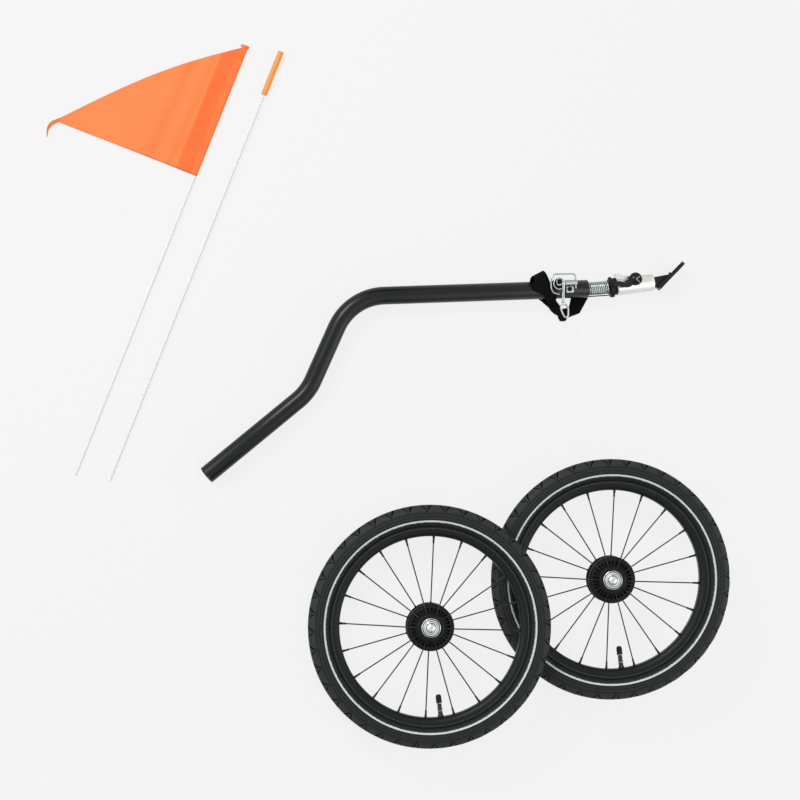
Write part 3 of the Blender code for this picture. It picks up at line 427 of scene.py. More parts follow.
def tyre_rubber():
    """Tyre tread rubber, moulded: dull black with a grey bloom, painted highlight on the shoulders, knurls beside the
    rim.
    """
    base = settings("wheel_settings").tyre
    made, tree, place = surface("moulded tyre rubber", base, 0.6, IOR=1.52, Specular_IOR_Level=0.36)
    bloom = add(tree, "TexNoise", {"Vector": place, "Scale": per(14.0), "Detail": 4.0})
    # Painted highlight: the shoulder blocks are drawn lighter by their radius, and a random grey bloom lies over that
    radius = wheel_radius(tree, place)
    off = add(tree, "Math", {0: radius, 1: BLOCK_RADIUS}, operation="SUBTRACT")
    away = add(tree, "Math", {0: off}, operation="ABSOLUTE")
    thick = add(tree, "MapRange", {"Value": away, "From Max": 0.0042, "To Min": 0.75, "To Max": 0.0})
    # Random bloom plus the painted highlight on the shoulder blocks
    bloom_and_highlight = add(tree, "Math", {0: bloom, 1: 0.35, 2: thick}, operation="MULTIPLY_ADD")
    # Knurls of 2.4 mm round a radius of 161 mm
    knurl = add(tree, "Math", {0: wheel_angle(tree, place)[0], 1: KNURL_COUNT}, operation="MULTIPLY")
    wave = add(tree, "Math", {0: knurl}, operation="SINE")
    band = add(tree, "Math", {0: radius, 1: KNURL_RADIUS, 2: KNURL_HALF}, operation="COMPARE")
    ribs = add(tree, "Math", {0: wave, 1: band}, operation="MULTIPLY")
    # Mould grain is about 0.2 mm; drawn at 0.9 mm so that it shows
    grain = add(tree, "TexNoise", {"Vector": place, "Scale": per(0.9), "Detail": 2.0})
    height = add(tree, "Math", {0: grain, 1: 0.35, 2: ribs}, operation="MULTIPLY_ADD")
    return varied(made, bloom_and_highlight, shades(base, 0.7, 3.4), (0.58, 0.78), 0.00025, height, bloom)


def groove_painted_shade():
    """The same rubber down in the grooves, drawn near black as painted shade, with no bloom."""
    base = shades(settings("wheel_settings").tyre, 0.25)[0]
    return grained("tyre rubber with painted groove shade", base, 0.9, 0.0, 1.0, 2.0, shades(base, 0.6, 1.6),
                   IOR=1.52, Specular_IOR_Level=0.05)


def reflective_tape():
    """Glass-bead reflecting stripe, heat-pressed: silver grey with a fine sparkle and a ragged inner edge."""
    base = settings("wheel_settings").stripe
    made, tree, place = surface("pressed reflecting stripe", base, 0.42, IOR=1.5)
    # Beads are 0.05 mm; drawn at 0.8 mm
    beads = add(tree, "TexVoronoi", {"Vector": place, "Scale": per(0.8)})
    bright, dim = shades(base, 1.1, 0.8)
    silver = add(tree, "Mix", {0: beads, 6: bright, 7: dim}, data_type="RGBA").outputs[2]
    # The inner edge follows the knurls beside it, which are 2.4 mm apart
    ragged = add(tree, "TexNoise", {"Vector": place, "Scale": per(2.4), "Detail": 3.0})
    reach = add(tree, "Math", {0: ragged, 1: 0.0026, 2: wheel_radius(tree, place)}, operation="MULTIPLY_ADD")
    edge = add(tree, "Math", {0: reach, 1: STRIPE_EDGE}, operation="GREATER_THAN")
    return varied(made, edge, (settings("wheel_settings").tyre, silver), depth=0.00006, height=beads)


def butyl_rubber():
    """Butyl inner tube and valve rubber, extruded: soft black with a talc haze."""
    base = linear("141515")
    return grained("butyl rubber", base, 0.6, 0.0, 6.0, 3.0, (base, linear("2c2d2d")), depth=0.0001,
                   IOR=1.52, Specular_IOR_Level=0.4)


def anodised_rim():
    """Black anodised aluminium, extruded and rolled: dark metal with faint lines round the wheel."""
    base = settings("wheel_settings").rim
    made, tree, place = surface("black anodised aluminium", base, 0.44, 0.75)
    turn, level = wheel_angle(tree, place)
    # Rolling lines lie 0.6 mm apart across the rim and run far round it
    along = add(tree, "Math", {0: turn, 1: 0.02}, operation="MULTIPLY")
    lines = add(tree, "CombineXYZ", {"X": wheel_radius(tree, place), "Y": level, "Z": along})
    drawn = add(tree, "TexNoise", {"Vector": lines, "Scale": per(0.6), "Detail": 2.0})
    return varied(made, drawn, shades(base, 0.75, 1.35), (0.36, 0.52), 0.00003)


def worn_edge():
    """Rim edge with its anodising machined through: a dull grey line of bare aluminium."""
    tones = (linear("2e3130"), linear("6a6e6d"))
    return grained("machined rim edge", linear("6c706f"), 0.4, 0.6, 6.0, 4.0, tones)


def cap_groove_painted_shade():
    """Parting grooves in the cap, left from turning: drawn darker grey as painted shade."""
    tones = (linear("3a3e3e"), linear("666a6a"))
    return grained("turned groove, painted shade", linear("4c5050"), 0.45, 0.5, 3.0, 3.0, tones)


def moulded_nylon():
    """Glass-filled black nylon, injection moulded: satin, with a fine spark-eroded grain."""
    base = settings("drawbar_settings").plastic
    made, tree, place = surface("moulded black nylon", base, 0.46, IOR=1.53, Specular_IOR_Level=0.18)
    flow = add(tree, "TexNoise", {"Vector": place, "Scale": per(11.0), "Detail": 3.0})
    # Grain of 0.1 mm, drawn at 0.7 mm
    grain = add(tree, "TexNoise", {"Vector": place, "Scale": per(0.7), "Detail": 1.0})
    return varied(made, flow, shades(base, 0.75, 1.6), depth=0.00006, height=grain)


def coated_steel():
    """Steel spokes, drawn and dipped in black coat: dark, with a weak satin highlight."""
    base = settings("wheel_settings").spokes
    return grained("black coated steel wire", base, 0.4, 0.0, 5.0, 4.0, shades(base, 0.8, 1.8), (0.34, 0.5),
                   IOR=1.5, Specular_IOR_Level=0.3)


def bearing_steel():
    """Hardened steel, ground: bright, with fine grinding marks."""
    tones = (linear("aeb2b4"), linear("c3c6c7"))
    return grained("ground bearing steel", linear("b9bdbe"), 0.25, 1.0, 0.5, 2.0, tones, (0.2, 0.34))


def chrome():
    """Chromium plate on a turned cap: bright, slightly hazed, with fine turning rings under it."""
    base = settings("wheel_settings").cap
    made, tree, place = surface("chromed turned steel", base, 0.13, 1.0)
    # Turning rings of 0.15 mm, drawn at 0.6 mm
    rings = add(tree, "Math", {0: wheel_radius(tree, place), 1: ROUND * per(0.6)}, operation="MULTIPLY")
    wave = add(tree, "Math", {0: rings}, operation="SINE")
    haze = add(tree, "TexNoise", {"Vector": place, "Scale": per(4.0), "Detail": 3.0})
    return varied(made, haze, shades(base, 0.9, 1.05), (0.24, 0.34), 0.000003, wave)


def zinc_plate():
    """Zinc-plated steel, bright passivated: silvery with cloudy patches."""
    base = settings("drawbar_settings").zinc
    tones = shades(base, 0.88, 1.12)
    return grained("bright zinc plated steel", base, 0.26, 1.0, 3.5, 4.0, tones, (0.17, 0.28), 0.00001)


def turned_aluminium():
    """Aluminium casting, turned and left bare: pale satin metal with tool rings across its length."""
    base = settings("drawbar_settings").casting
    made, tree, place = surface("turned aluminium", base, 0.36, 1.0)
    # Tool rings of 0.3 mm, drawn at 1.8 mm
    waves = {"Vector": place, "Scale": WAVE_BAND * per(THREAD), "Distortion": 0.6, "Detail": 2.0}
    rings = add(tree, "TexWave", waves).outputs["Fac"]
    cloud = add(tree, "TexNoise", {"Vector": place, "Scale": per(7.0), "Detail": 3.0})
    return varied(made, cloud, shades(base, 0.82, 1.08), (0.32, 0.44), 0.00002, rings)


def powder_coat():
    """Polyester powder coat, sprayed and baked: satin black with a faint orange peel."""
    base = settings("drawbar_settings").tube
    made, tree, place = surface("black powder coat", base, 0.3, IOR=1.5, Specular_IOR_Level=0.28)
    # Orange peel of about 1.5 mm
    peel = add(tree, "TexNoise", {"Vector": place, "Scale": per(1.5), "Detail": 1.0})
    haze = add(tree, "TexNoise", {"Vector": place, "Scale": per(30.0), "Detail": 3.0})
    return varied(made, haze, shades(base, 0.8, 1.3), (0.26, 0.34), 0.00004, peel)


def woven(tree, warp_spacing, weft_spacing):
    """The weave's coordinates, and the waves of its warp and weft with their spacings in metres."""
    weave = add(tree, "UVMap").outputs["UV"]
    warp = add(tree, "TexWave", {"Vector": weave, "Scale": WAVE_BAND / warp_spacing}, bands_direction="X")
    weft = add(tree, "TexWave", {"Vector": weave, "Scale": WAVE_BAND / weft_spacing}, bands_direction="Y")
    return weave, warp.outputs["Fac"], weft.outputs["Fac"]


def webbing():
    """Polypropylene webbing, woven: matt black ribs crossed by small stitches of yarn."""
    base = settings("drawbar_settings").webbing
    rib = settings("drawbar_settings").rib
    made, tree, _ = surface("woven black webbing", base, 0.85, IOR=1.49, Specular_IOR_Level=0.08)
    _, warp, weft = woven(tree, rib, CROSSING * rib)
    cross = add(tree, "Math", {0: warp, 1: weft}, operation="MULTIPLY")
    return varied(made, cross, shades(base, 0.55, 2.2), depth=0.0004)


def strap_rubber():
    """Black EPDM strap, moulded: soft satin with a fine skin."""
    base = linear("1a1b1a")
    return grained("moulded strap rubber", base, 0.55, 0.0, 1.6, 3.0, shades(base, 0.7, 1.6), depth=0.00008,
                   IOR=1.52, Specular_IOR_Level=0.22)


def fibreglass():
    """Fibreglass, pultruded: milky white with long faint fibres under a soft resin sheen."""
    base = settings("flag_settings").rods
    made, tree, place = surface("pultruded fibreglass", base, 0.5, IOR=1.52, Specular_IOR_Level=0.2)
    # Rovings of 0.4 mm that run the rod's whole length
    fibres = add(tree, "Mapping", {"Vector": place, "Scale": (1.0, 1.0, 0.002)})
    strands = add(tree, "TexNoise", {"Vector": fibres, "Scale": per(0.4), "Detail": 2.0})
    return varied(made, strands, shades(base, 0.97, 1.03))


def vinyl_sleeve():
    """PVC sleeve, extruded: glossy orange with a slight flow mark."""
    base = settings("flag_settings").sleeve
    made, tree, place = surface("extruded orange vinyl", base, 0.4, IOR=1.53)
    flow = add(tree, "Mapping", {"Vector": place, "Scale": (1.0, 1.0, 0.1)})
    marks = add(tree, "TexNoise", {"Vector": flow, "Scale": per(2.0), "Detail": 2.0})
    return varied(made, marks, shades(base, 0.88, 1.08), depth=0.00004)


def flag_cloth():
    """Fluorescent nylon taffeta, plain woven and coated: flat, bright, with a soft sheen."""
    base = settings("flag_settings").cloth
    made, tree, _ = surface("woven orange nylon", base, 0.7, IOR=1.53, Specular_IOR_Level=0.15)
    # Threads are 0.15 mm apart; drawn at 1.8 mm
    weave, warp, weft = woven(tree, THREAD * MM, THREAD * MM)
    cross = add(tree, "Math", {0: warp, 1: weft}, operation="ADD")
    fade = add(tree, "TexNoise", {"Vector": weave, "Scale": per(70.0), "Detail": 2.0})
    return varied(made, fade, shades(base, 0.94, 1.08), depth=0.00003, height=cross)


def hem_cloth():
    """The same nylon in two layers, with less light coming through and painted shade where it curls round the rod:
    drawn a deeper orange, with its warp standing out.
    """
    made, tree, _ = surface("doubled orange nylon", linear("ff7a42"), 0.7, IOR=1.53, Specular_IOR_Level=0.15)
    weave, warp, _ = woven(tree, THREAD * MM, THREAD * MM)
    fade = add(tree, "TexNoise", {"Vector": weave, "Scale": per(40.0), "Detail": 2.0})
    return varied(made, fade, (linear("fb6d38"), linear("ff8348")), depth=0.00003, height=warp)


def cotton_tape():
    """Rim tape, woven cotton: grey threads across the well."""
    base = linear("5a5d60")
    return grained("woven rim tape", base, 0.8, 0.0, 0.8, 2.0, shades(base, 0.8, 1.2), depth=0.0001)


def black_felt():
    """Black felt, which gives back almost no light."""
    tones = (linear("050505"), linear("0c0c0c"))
    return grained("black felt", linear("070707"), 0.95, 0.0, 8.0, 2.0, tones, Specular_IOR_Level=0.1)


MADE = {}


def look(maker):
    """The material that a maker builds, built once."""
    if maker.__name__ not in MADE:
        MADE[maker.__name__] = maker()
    return MADE[maker.__name__]


# Shapes


def placed(name, data, place=None):
    """An object of a mesh, curve, lamp or camera, linked into the scene."""
    piece = bpy.data.objects.new(name, data)
    bpy.context.scene.collection.objects.link(piece)
    piece.matrix_world = place or Matrix.Identity(4)
    return piece


def smooth(mesh, degrees):
    """Shade a mesh smooth up to its sharp edges."""
    mesh.shade_smooth()
    mesh.set_sharp_from_angle(angle=math.radians(degrees))


def finished(name, mesh, looks, place=None, sharp=35.0):
    """An object of a mesh with its materials, cleaned and shaded."""
    shape = bmesh.new()
    shape.from_mesh(mesh)
    bmesh.ops.remove_doubles(shape, verts=shape.verts, dist=0.000002)
    bmesh.ops.dissolve_degenerate(shape, edges=shape.edges, dist=0.000001)
    bmesh.ops.recalc_face_normals(shape, faces=shape.faces)
    shape.to_mesh(mesh)
    shape.free()
    smooth(mesh, sharp)
    for finish in looks:
        mesh.materials.append(look(finish))
    return placed(name, mesh, place)


def form(name, lines, looks, place=None, loop_lines=False, loop_points=True, caps=False, pick=None, uv=None,
         sharp=35.0):
    """A mesh skinned over lines of points; pick gives a face's material and uv a point's texture place."""
    count = len(lines[0])
    points = [point for line in lines for point in line]
    faces = []
    picked = []
    for line in range(len(lines) if loop_lines else len(lines) - 1):
        here = line * count
        there = (line + 1) % len(lines) * count
        for index in range(count if loop_points else count - 1):
            after = (index + 1) % count
            faces.append((here + index, here + after, there + after, there + index))
            picked.append(pick(line, index) if pick else 0)
    if caps:
        faces += [tuple(range(count)), tuple(range(len(points) - count, len(points)))]
        picked += [0, 0]
    mesh = bpy.data.meshes.new(name)
    mesh.from_pydata(points, [], faces)
    mesh.polygons.foreach_set("material_index", picked)
    if uv:
        layer = mesh.uv_layers.new(name="weave")
        for loop in mesh.loops:
            layer.data[loop.index].uv = uv(*divmod(loop.vertex_index, count))
    return finished(name, mesh, looks, place, sharp)


def turned(name, profile, finish, place=None, steps=48, bands=(), second=None):
    """A piece turned on a lathe from (radius, height) in millimetres, with bands in a second finish."""
    lines = []
    for step in range(steps):
        across = polar(MM, ROUND * step / steps)
        lines.append([radius * across + height * MM * UP for radius, height in profile])
    finishes = [finish, second] if second else [finish]
    return form(name, lines, finishes, place, loop_lines=True, loop_points=profile[0][0] > 0,
                pick=lambda line, index: int(index in bands))


def spline(points, steps, closed=False):
    """A smooth line through points, with so many steps between two of them."""
    points = [Vector(point) for point in points]
    count = len(points)
    line = []
    for index in range(count if closed else count - 1):
        places = [index + shift for shift in (-1, 0, 1, 2)]
        a, b, c, d = (points[i % count if closed else min(max(i, 0), count - 1)] for i in places)
        for step in range(steps):
            t = step / steps
            line.append(0.5 * (2 * b + t * (c - a) + t * t * (2 * a - 5 * b + 4 * c - d)
                        + t * t * t * (3 * b - a - 3 * c + d)))
    return line if closed else line + [points[-1]]


def hoop(centre, radius, across, up, sides):
    """Points of a circle round a centre, in the plane of two directions."""
    turns = [ROUND * step / sides for step in range(sides)]
    return [centre + radius * (math.cos(turn) * across + math.sin(turn) * up) for turn in turns]


def wire(name, points, radius, finish, place=None, sides=14, closed=False):
    """A round wire along points, with domed ends, or a closed ring of wire."""
    points = [Vector(point) for point in points]
    count = len(points)
    lines = []
    side = None
    for index, point in enumerate(points):
        if closed:
            along = (points[(index + 1) % count] - points[index - 1]).normalized()
        else:
            along = (points[min(index + 1, count - 1)] - points[max(index - 1, 0)]).normalized()
        side = side or along.orthogonal().normalized()
        side = (side - along * side.dot(along)).normalized()
        up = along.cross(side)
        lines.append(hoop(point, radius, side, up, sides))
        if not closed and index in (0, count - 1):
            out = along if index else -along
            dome = []
            for share in (0.5, 0.85, 1.0):
                width = max(radius * math.sqrt(1 - share * share), 0.000004)
                dome.append(hoop(point + out * radius * share * 0.6, width, side, up, sides))
            lines = lines + dome if index else dome[::-1] + lines
    return form(name, lines, [finish], place, loop_lines=closed, caps=not closed, sharp=50.0)


def apply(piece):
    """Apply a piece's modifiers."""
    bpy.context.view_layer.update()
    graph = bpy.context.evaluated_depsgraph_get()
    mesh = bpy.data.meshes.new_from_object(piece.evaluated_get(graph))
    piece.modifiers.clear()
    piece.data = mesh


def slab(name, outline, low, high, finish, place=None, holes=(), bevel=0.4):
    """A flat outline with holes, in millimetres, given a thickness and rounded edges."""
    curve = bpy.data.curves.new(name, "CURVE")
    curve.dimensions = "2D"
    curve.fill_mode = "BOTH"
    curve.extrude = (high - low) / 2 * MM
    for loop in (outline, *holes):
        line = curve.splines.new("POLY")
        line.points.add(len(loop) - 1)
        for target, (along, across) in zip(line.points, loop):
            target.co = (along * MM, across * MM, 0.0, 1.0)
        line.use_cyclic_u = True
    drawn = placed(name, curve)
    bpy.context.view_layer.update()
    mesh = bpy.data.meshes.new_from_object(drawn.evaluated_get(bpy.context.evaluated_depsgraph_get()))
    bpy.data.objects.remove(drawn)
    mesh.transform(Matrix.Translation((low + high) / 2 * MM * UP))
    piece = finished(name, mesh, [finish], place)
    if bevel:
        edge = piece.modifiers.new("edge", "BEVEL")
        edge.width = bevel * MM
        edge.segments = 3
        edge.limit_method = "ANGLE"
        edge.angle_limit = math.radians(38.0)
        apply(piece)
        smooth(piece.data, 40.0)
    return piece


def combine(piece, tool, operation="UNION"):
    """Join a tool to a piece, or cut it out, and take the tool away."""
    step = piece.modifiers.new("step", "BOOLEAN")
    step.operation = operation
    step.object = tool
    step.solver = "EXACT"
    apply(piece)
    bpy.data.objects.remove(tool, do_unlink=True)
    smooth(piece.data, 35.0)


def merged(name, pieces):
    """One piece of several that share their finishes."""
    shape = bmesh.new()
    for part in pieces:
        part.data.transform(part.matrix_world)
        shape.from_mesh(part.data)
    mesh = bpy.data.meshes.new(name)
    shape.to_mesh(mesh)
    shape.free()
    for finish in pieces[0].data.materials:
        mesh.materials.append(finish)
    for part in pieces:
        bpy.data.objects.remove(part, do_unlink=True)
    smooth(mesh, 40.0)
    return placed(name, mesh)


def arc(centre, radius, start, end, count):
    """Points of an arc in the XY plane, ends included."""
    sweep = [start + (end - start) * index / count for index in range(count + 1)]
    return [(centre[0] + radius * math.cos(angle), centre[1] + radius * math.sin(angle)) for angle in sweep]


def circle(centre, radius, count):
    """Points of a whole circle."""
    return arc(centre, radius, 0.0, ROUND, count)[:-1]


def polar(radius, angle, height=0.0):
    """A point from its radius, angle and height."""
    return Vector((radius * math.cos(angle), radius * math.sin(angle), height))


def spot(*millimetres):
    """A point given in millimetres."""
    return Vector(millimetres) * MM


def reaches(points):
    """Distance of each point from the first one, along the line."""
    made = [0.0]
    for before, after in zip(points, points[1:]):
        made.append(made[-1] + (after - before).length)
    return made


def aim(start, end):
    """A frame at start with Z towards end."""
    run = Vector(end) - Vector(start)
    return Matrix.Translation(start) @ run.to_track_quat("Z", "Y").to_matrix().to_4x4()


def setting(piece, body, slot, *nodes):
    """Let a piece move with its body, take its slot and stand for its CAD nodes."""
    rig.ride(piece, body)
    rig.slot(piece, slot)
    if nodes:
        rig.replaces(piece, *nodes)
    return piece


def bridge(piece, bodies, start, end, slot, node):
    """Let a piece bend between two bodies, take its slot and stand for its CAD node."""
    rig.blend(piece, *bodies, start, end)
    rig.slot(piece, slot)
    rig.replaces(piece, node)


def dress(finish, *nodes):
    """Give CAD nodes that stay a finish of their own."""
    for name in nodes:
        node = NODES[name]
        if not node.material_slots:
            node.data.materials.append(look(finish))
        for slot in node.material_slots:
            slot.link = "OBJECT"
            slot.material = look(finish)


# Places


def wheel_place(side):
    """Frame of a wheel, its axle along Z."""
    centre = Vector((*WHEEL_PLACES[side], WHEEL_HEIGHT))
    return Matrix.Translation(centre) @ Matrix.Rotation(-WHEEL_LEAN, 4, "Y")


def drawbar_place():
    """Frame of the drawbar, X along the top straight."""
    turn = Matrix.Rotation(TUBE_HEADING, 4, "Z") @ Matrix.Rotation(-TUBE_DROP, 4, "Y")
    return Matrix.Translation(TUBE_END) @ turn


def head_place(along=0.0, across=0.0, height=0.0):
    """Frame of the hitch head, X along it, moved by so many millimetres."""
    head = drawbar_place() @ Matrix.Translation((YAW_PIVOT, 0.0, 0.0)) @ Matrix.Rotation(HEAD_YAW, 4, "Z")
    return head @ Matrix.Translation(spot(along, across, height))


def along_head():
    """Frame of the hitch head with Z along it, for turned pieces."""
    return head_place() @ Matrix.Rotation(math.pi / 2, 4, "Y")


def rod_place(ends):
    """Frame of a flag rod, Z along it, and its length."""
    foot, top = (Vector(end) for end in ends)
    length = (top - foot).length
    heading = math.atan2(top.y - foot.y, top.x - foot.x)
    rise = math.asin((top.z - foot.z) / length)
    turn = Matrix.Rotation(heading, 4, "Z") @ Matrix.Rotation(math.pi / 2 - rise, 4, "Y")
    return Matrix.Translation(foot) @ turn, length


def on_wheels(piece, name, part, slot, *nodes):
    """Set a piece made in the wheel's frame on both wheels."""
    for side in WHEEL_PLACES:
        twin = placed(name + "_" + side, piece.data, wheel_place(side))
        setting(twin, side + "_" + part, slot, *[node + "_" + side for node in nodes])
    bpy.data.objects.remove(piece, do_unlink=True)


# Wheels


def tyre_section():
    """Smooth outside of half the tyre from the crown to the rim, as (radius, height)."""
    points = [
        (192.5, 0.0), (191.9, 5.0), (190.7, 8.9), (188.7, 12.4), (186.0, 15.4), (182.6, 17.5),
        (179.5, 18.6), (176.0, 19.3), (173.0, 19.8), (170.0, 20.0), (167.0, 19.3), (164.0, 17.6),
        (161.0, 14.6), (158.9, 11.7),
    ]
    return [spot(radius, height, 0.0) for radius, height in points]


def tread_widths(distance):
    """Half widths of the V notch and of the smaller V in it, and the notch's depth share, at a distance."""
    tip = 0.0230
    if distance > tip:
        spread = min(0.007, 0.00025 + 0.9 * (distance - tip))
        return spread, 0.45 * spread, 0.0
    past = max(0.0, distance - 0.0065)
    wide = 0.00025 + 0.0080 * max(0.0, 1.0 - past / (tip - 0.0065)) ** 1.12
    narrow = min(0.45 * wide, 0.0001 + 0.0034 * max(0.0, 1.0 - past / 0.0085) ** 1.2)
    fade = min(1.0, max(0.0, (distance - 0.0012) / 0.0015), (tip - distance) / 0.0015)
    return wide, narrow, fade


class KIT_OT_tyres(bpy.types.Operator):
    """Tyres with scale-shaped tread blocks, ribs, a reflecting stripe and a knurled band"""

    bl_idname = "kit.tyres"
    bl_label = "Tyres"

    def execute(self, context):
        path = spline(tyre_section(), 8)
        reach = reaches(path)
        ribs, stripe = ([next(d for d, point in zip(reach, path) if point.x <= radius) for radius in radii]
                        for radii in (RIB_RADII, STRIPE_RADII))
        rows = self.rows(ribs, stripe, reach[-1])
        outside = [self.outside(path, reach, distance) for distance in rows]
        columns = range(-10, 12)
        inside = [
            (153.3, 11.2), (154.6, 8.2), (161.0, 13.0), (171.5, 16.4), (182.0, 13.3), (186.0, 7.5),
            (187.0, 0.0),
        ]
        pitch = math.pi * TYRE_RADIUS / TREAD_PITCHES
        options = settings("wheel_settings")
        lines = []
        for tread in range(TREAD_PITCHES):
            for column in columns:
                half = []
                for distance, (point, normal) in zip(rows, outside):
                    offset, rise = self.tread(abs(column), distance, pitch, options)
                    if distance in ribs:
                        rise -= 0.0007
                    angle = SPOKE_CLOCK + (tread + 0.5) * ROUND / TREAD_PITCHES
                    angle += math.copysign(offset, column) / TYRE_RADIUS
                    half.append((point.x + normal.x * rise, point.y + normal.y * rise, angle))
                hidden = [(radius * MM, height * MM, half[-1][2]) for radius, height in inside]
                loop = half + hidden + [(r, -z, a) for r, z, a in (half[1:] + hidden[:-1])[::-1]]
                lines.append([polar(r, a, z) for r, z, a in loop])
        last = len(lines[0]) - 1
        bright = [i for i, row in enumerate(rows) if stripe[0] - 1e-6 <= row < stripe[1] - 1e-6]
        grooved = [i for i, row in enumerate(rows) if 0.0008 < row < 0.0228]

        def pick(line, index):
            index = min(index, last - index)
            # The groove walls take the near-black rubber, a painted shade
            if index in grooved and abs(columns[line % len(columns)]) in (5, 6):
                return 2
            return int(index in bright)

        finishes = [tyre_rubber, reflective_tape, groove_painted_shade]
        piece = form("tyre_form", lines, finishes, loop_lines=True, pick=pick, sharp=42.0)
        on_wheels(piece, "tyre_form", "wheel", "tyre_rubber", "tyre")
        return {"FINISHED"}

    @staticmethod
    def rows(ribs, stripe, end):
        """Distances from the crown at which the tyre has a row of points."""
        rows = [0.0, 0.0010, 0.0022, 0.0036, 0.0052]
        while rows[-1] < 0.0215:
            rows.append(rows[-1] + 0.0017)
        while rows[-1] < end - 0.003:
            rows.append(rows[-1] + 0.0024)
        rows = [row for row in rows if all(abs(row - place) > 0.0011 for place in ribs + stripe)]
        for place in ribs:
            rows += [place - 0.0006, place, place + 0.0006]
        return sorted(rows + stripe + [end])

    @staticmethod
    def outside(path, reach, distance):
        """Point and normal of the tyre's section this far from the crown."""
        index = next((i for i, d in enumerate(reach) if d >= distance), len(reach) - 1)
        index = max(1, index)
        share = (distance - reach[index - 1]) / max(1e-9, reach[index] - reach[index - 1])
        tangent = (path[index] - path[index - 1]).normalized()
        return path[index - 1].lerp(path[index], min(1.0, share)), Vector((tangent.y, -tangent.x))

    @staticmethod
    def tread(column, distance, pitch, options):
        """Offset round the tyre and rise of one column of the tread, at this distance from the crown."""
        wide, narrow, fade = tread_widths(distance)
        edge = min(0.0011, 0.3 * wide)
        small = min(0.0007, 0.3 * narrow)
        low = -options.groove_depth * fade
        block = options.block_crown * math.exp(-((distance - 0.0125) / 0.0052) ** 2)
        stops = [
            (0.0, -0.0002 * fade),
            (narrow - small, -0.0002 * fade),
            (narrow, 0.6 * low if distance < 0.0155 else 0.0),
            (narrow + small, 0.0),
            (0.5 * (narrow + wide), 0.0),
            (wide - edge, 0.0),
            (wide, low),
            (wide + edge, 0.35 * block),
        ]
        if column < len(stops):
            return stops[column]
        share = (column - len(stops) + 1) / 4.0
        rise = block * (0.35 + 0.65 * math.sin(0.5 * math.pi * share))
        return wide + edge + (pitch - wide - edge) * share, rise


class KIT_OT_inner_tubes(bpy.types.Operator):
    """Inner tubes with rubber-covered valves, their caps and bright rings"""

    bl_idname = "kit.inner_tubes"
    bl_label = "Inner Tubes and Valves"

    def execute(self, context):
        section = circle((TUBE_CENTRE, 0.0), TUBE_SECTION, 20)
        lines = []
        for step in range(96):
            angle = SPOKE_CLOCK + ROUND * step / 96
            lines.append([polar(radius, angle, height) for radius, height in section])
        tube = form("tube_ring", lines, [butyl_rubber], loop_lines=True)
        down = aim(polar(0.1600, VALVE_ANGLE), polar(VALVE_SEAT, VALVE_ANGLE))
        profile = [
            (0, 0), (3.6, 0), (3.6, 16.4), (4.6, 17.0), (4.9, 18.4), (4.2, 20.0), (3.7, 21.5), (3.5, 30.0),
            (3.4, 36.5), (2.8, 37.2), (0, 37.2),
        ]
        stem = turned("stem", profile, butyl_rubber, down, 28)
        on_wheels(merged("valve_tube", [tube, stem]), "valve_tube", "wheel", "butyl_rubber", "inner_tube")
        place = aim(polar(0.1222, VALVE_ANGLE), polar(0.10, VALVE_ANGLE))
        profile = [
            (0, 0), (4.1, 0), (4.5, 0.5), (4.5, 9.5), (4.35, 11.6), (3.7, 13.4), (2.6, 14.3), (0, 14.6),
        ]
        cap = turned("cap", profile, moulded_nylon, place, 30)
        cap.data.transform(place)
        on_wheels(cap, "valve_dust_cap", "wheel", "black_nylon", "valve_cap")
        rings = []
        for start in (0.3, -11.6):
            profile = [(4.0, start), (4.75, start + 0.2), (4.75, start + 0.9), (4.0, start + 1.1)]
            rings.append(turned("ring", profile, bearing_steel, place, 30))
        on_wheels(merged("valve_rings", rings), "valve_rings", "wheel", "bearing_steel")
        return {"FINISHED"}


class KIT_OT_rims(bpy.types.Operator):
    """Hooked rims with a machined line, and their tape"""

    bl_idname = "kit.rims"
    bl_label = "Rims"

    def execute(self, context):
        half = [
            (142.9, 0.0), (142.9, 4.6), (143.1, 6.4), (143.7, 7.9), (144.9, 9.4), (147.4, 11.4),
            (150.0, 12.6), (152.6, 13.1), (155.0, 13.3), (155.2, 13.6), (155.8, 13.65), (156.0, 13.35),
            (157.4, 13.6), (158.1, 13.5), (158.4, 13.0), (158.3, 12.3), (157.6, 12.1), (152.8, 11.8),
            (149.2, 5.0), (149.2, 0.0),
        ]
        profile = half + [(radius, -height) for radius, height in reversed(half[1:-1])]
        line = [half.index((155.2, 13.6)), len(profile) - half.index((155.8, 13.65))]
        piece = turned("rim_form", profile, anodised_rim, steps=240, bands=line, second=worn_edge)
        on_wheels(piece, "rim_form", "wheel", "black_rim", "rim")
        dress(cotton_tape, "rim_tape_left", "rim_tape_right")
        return {"FINISHED"}


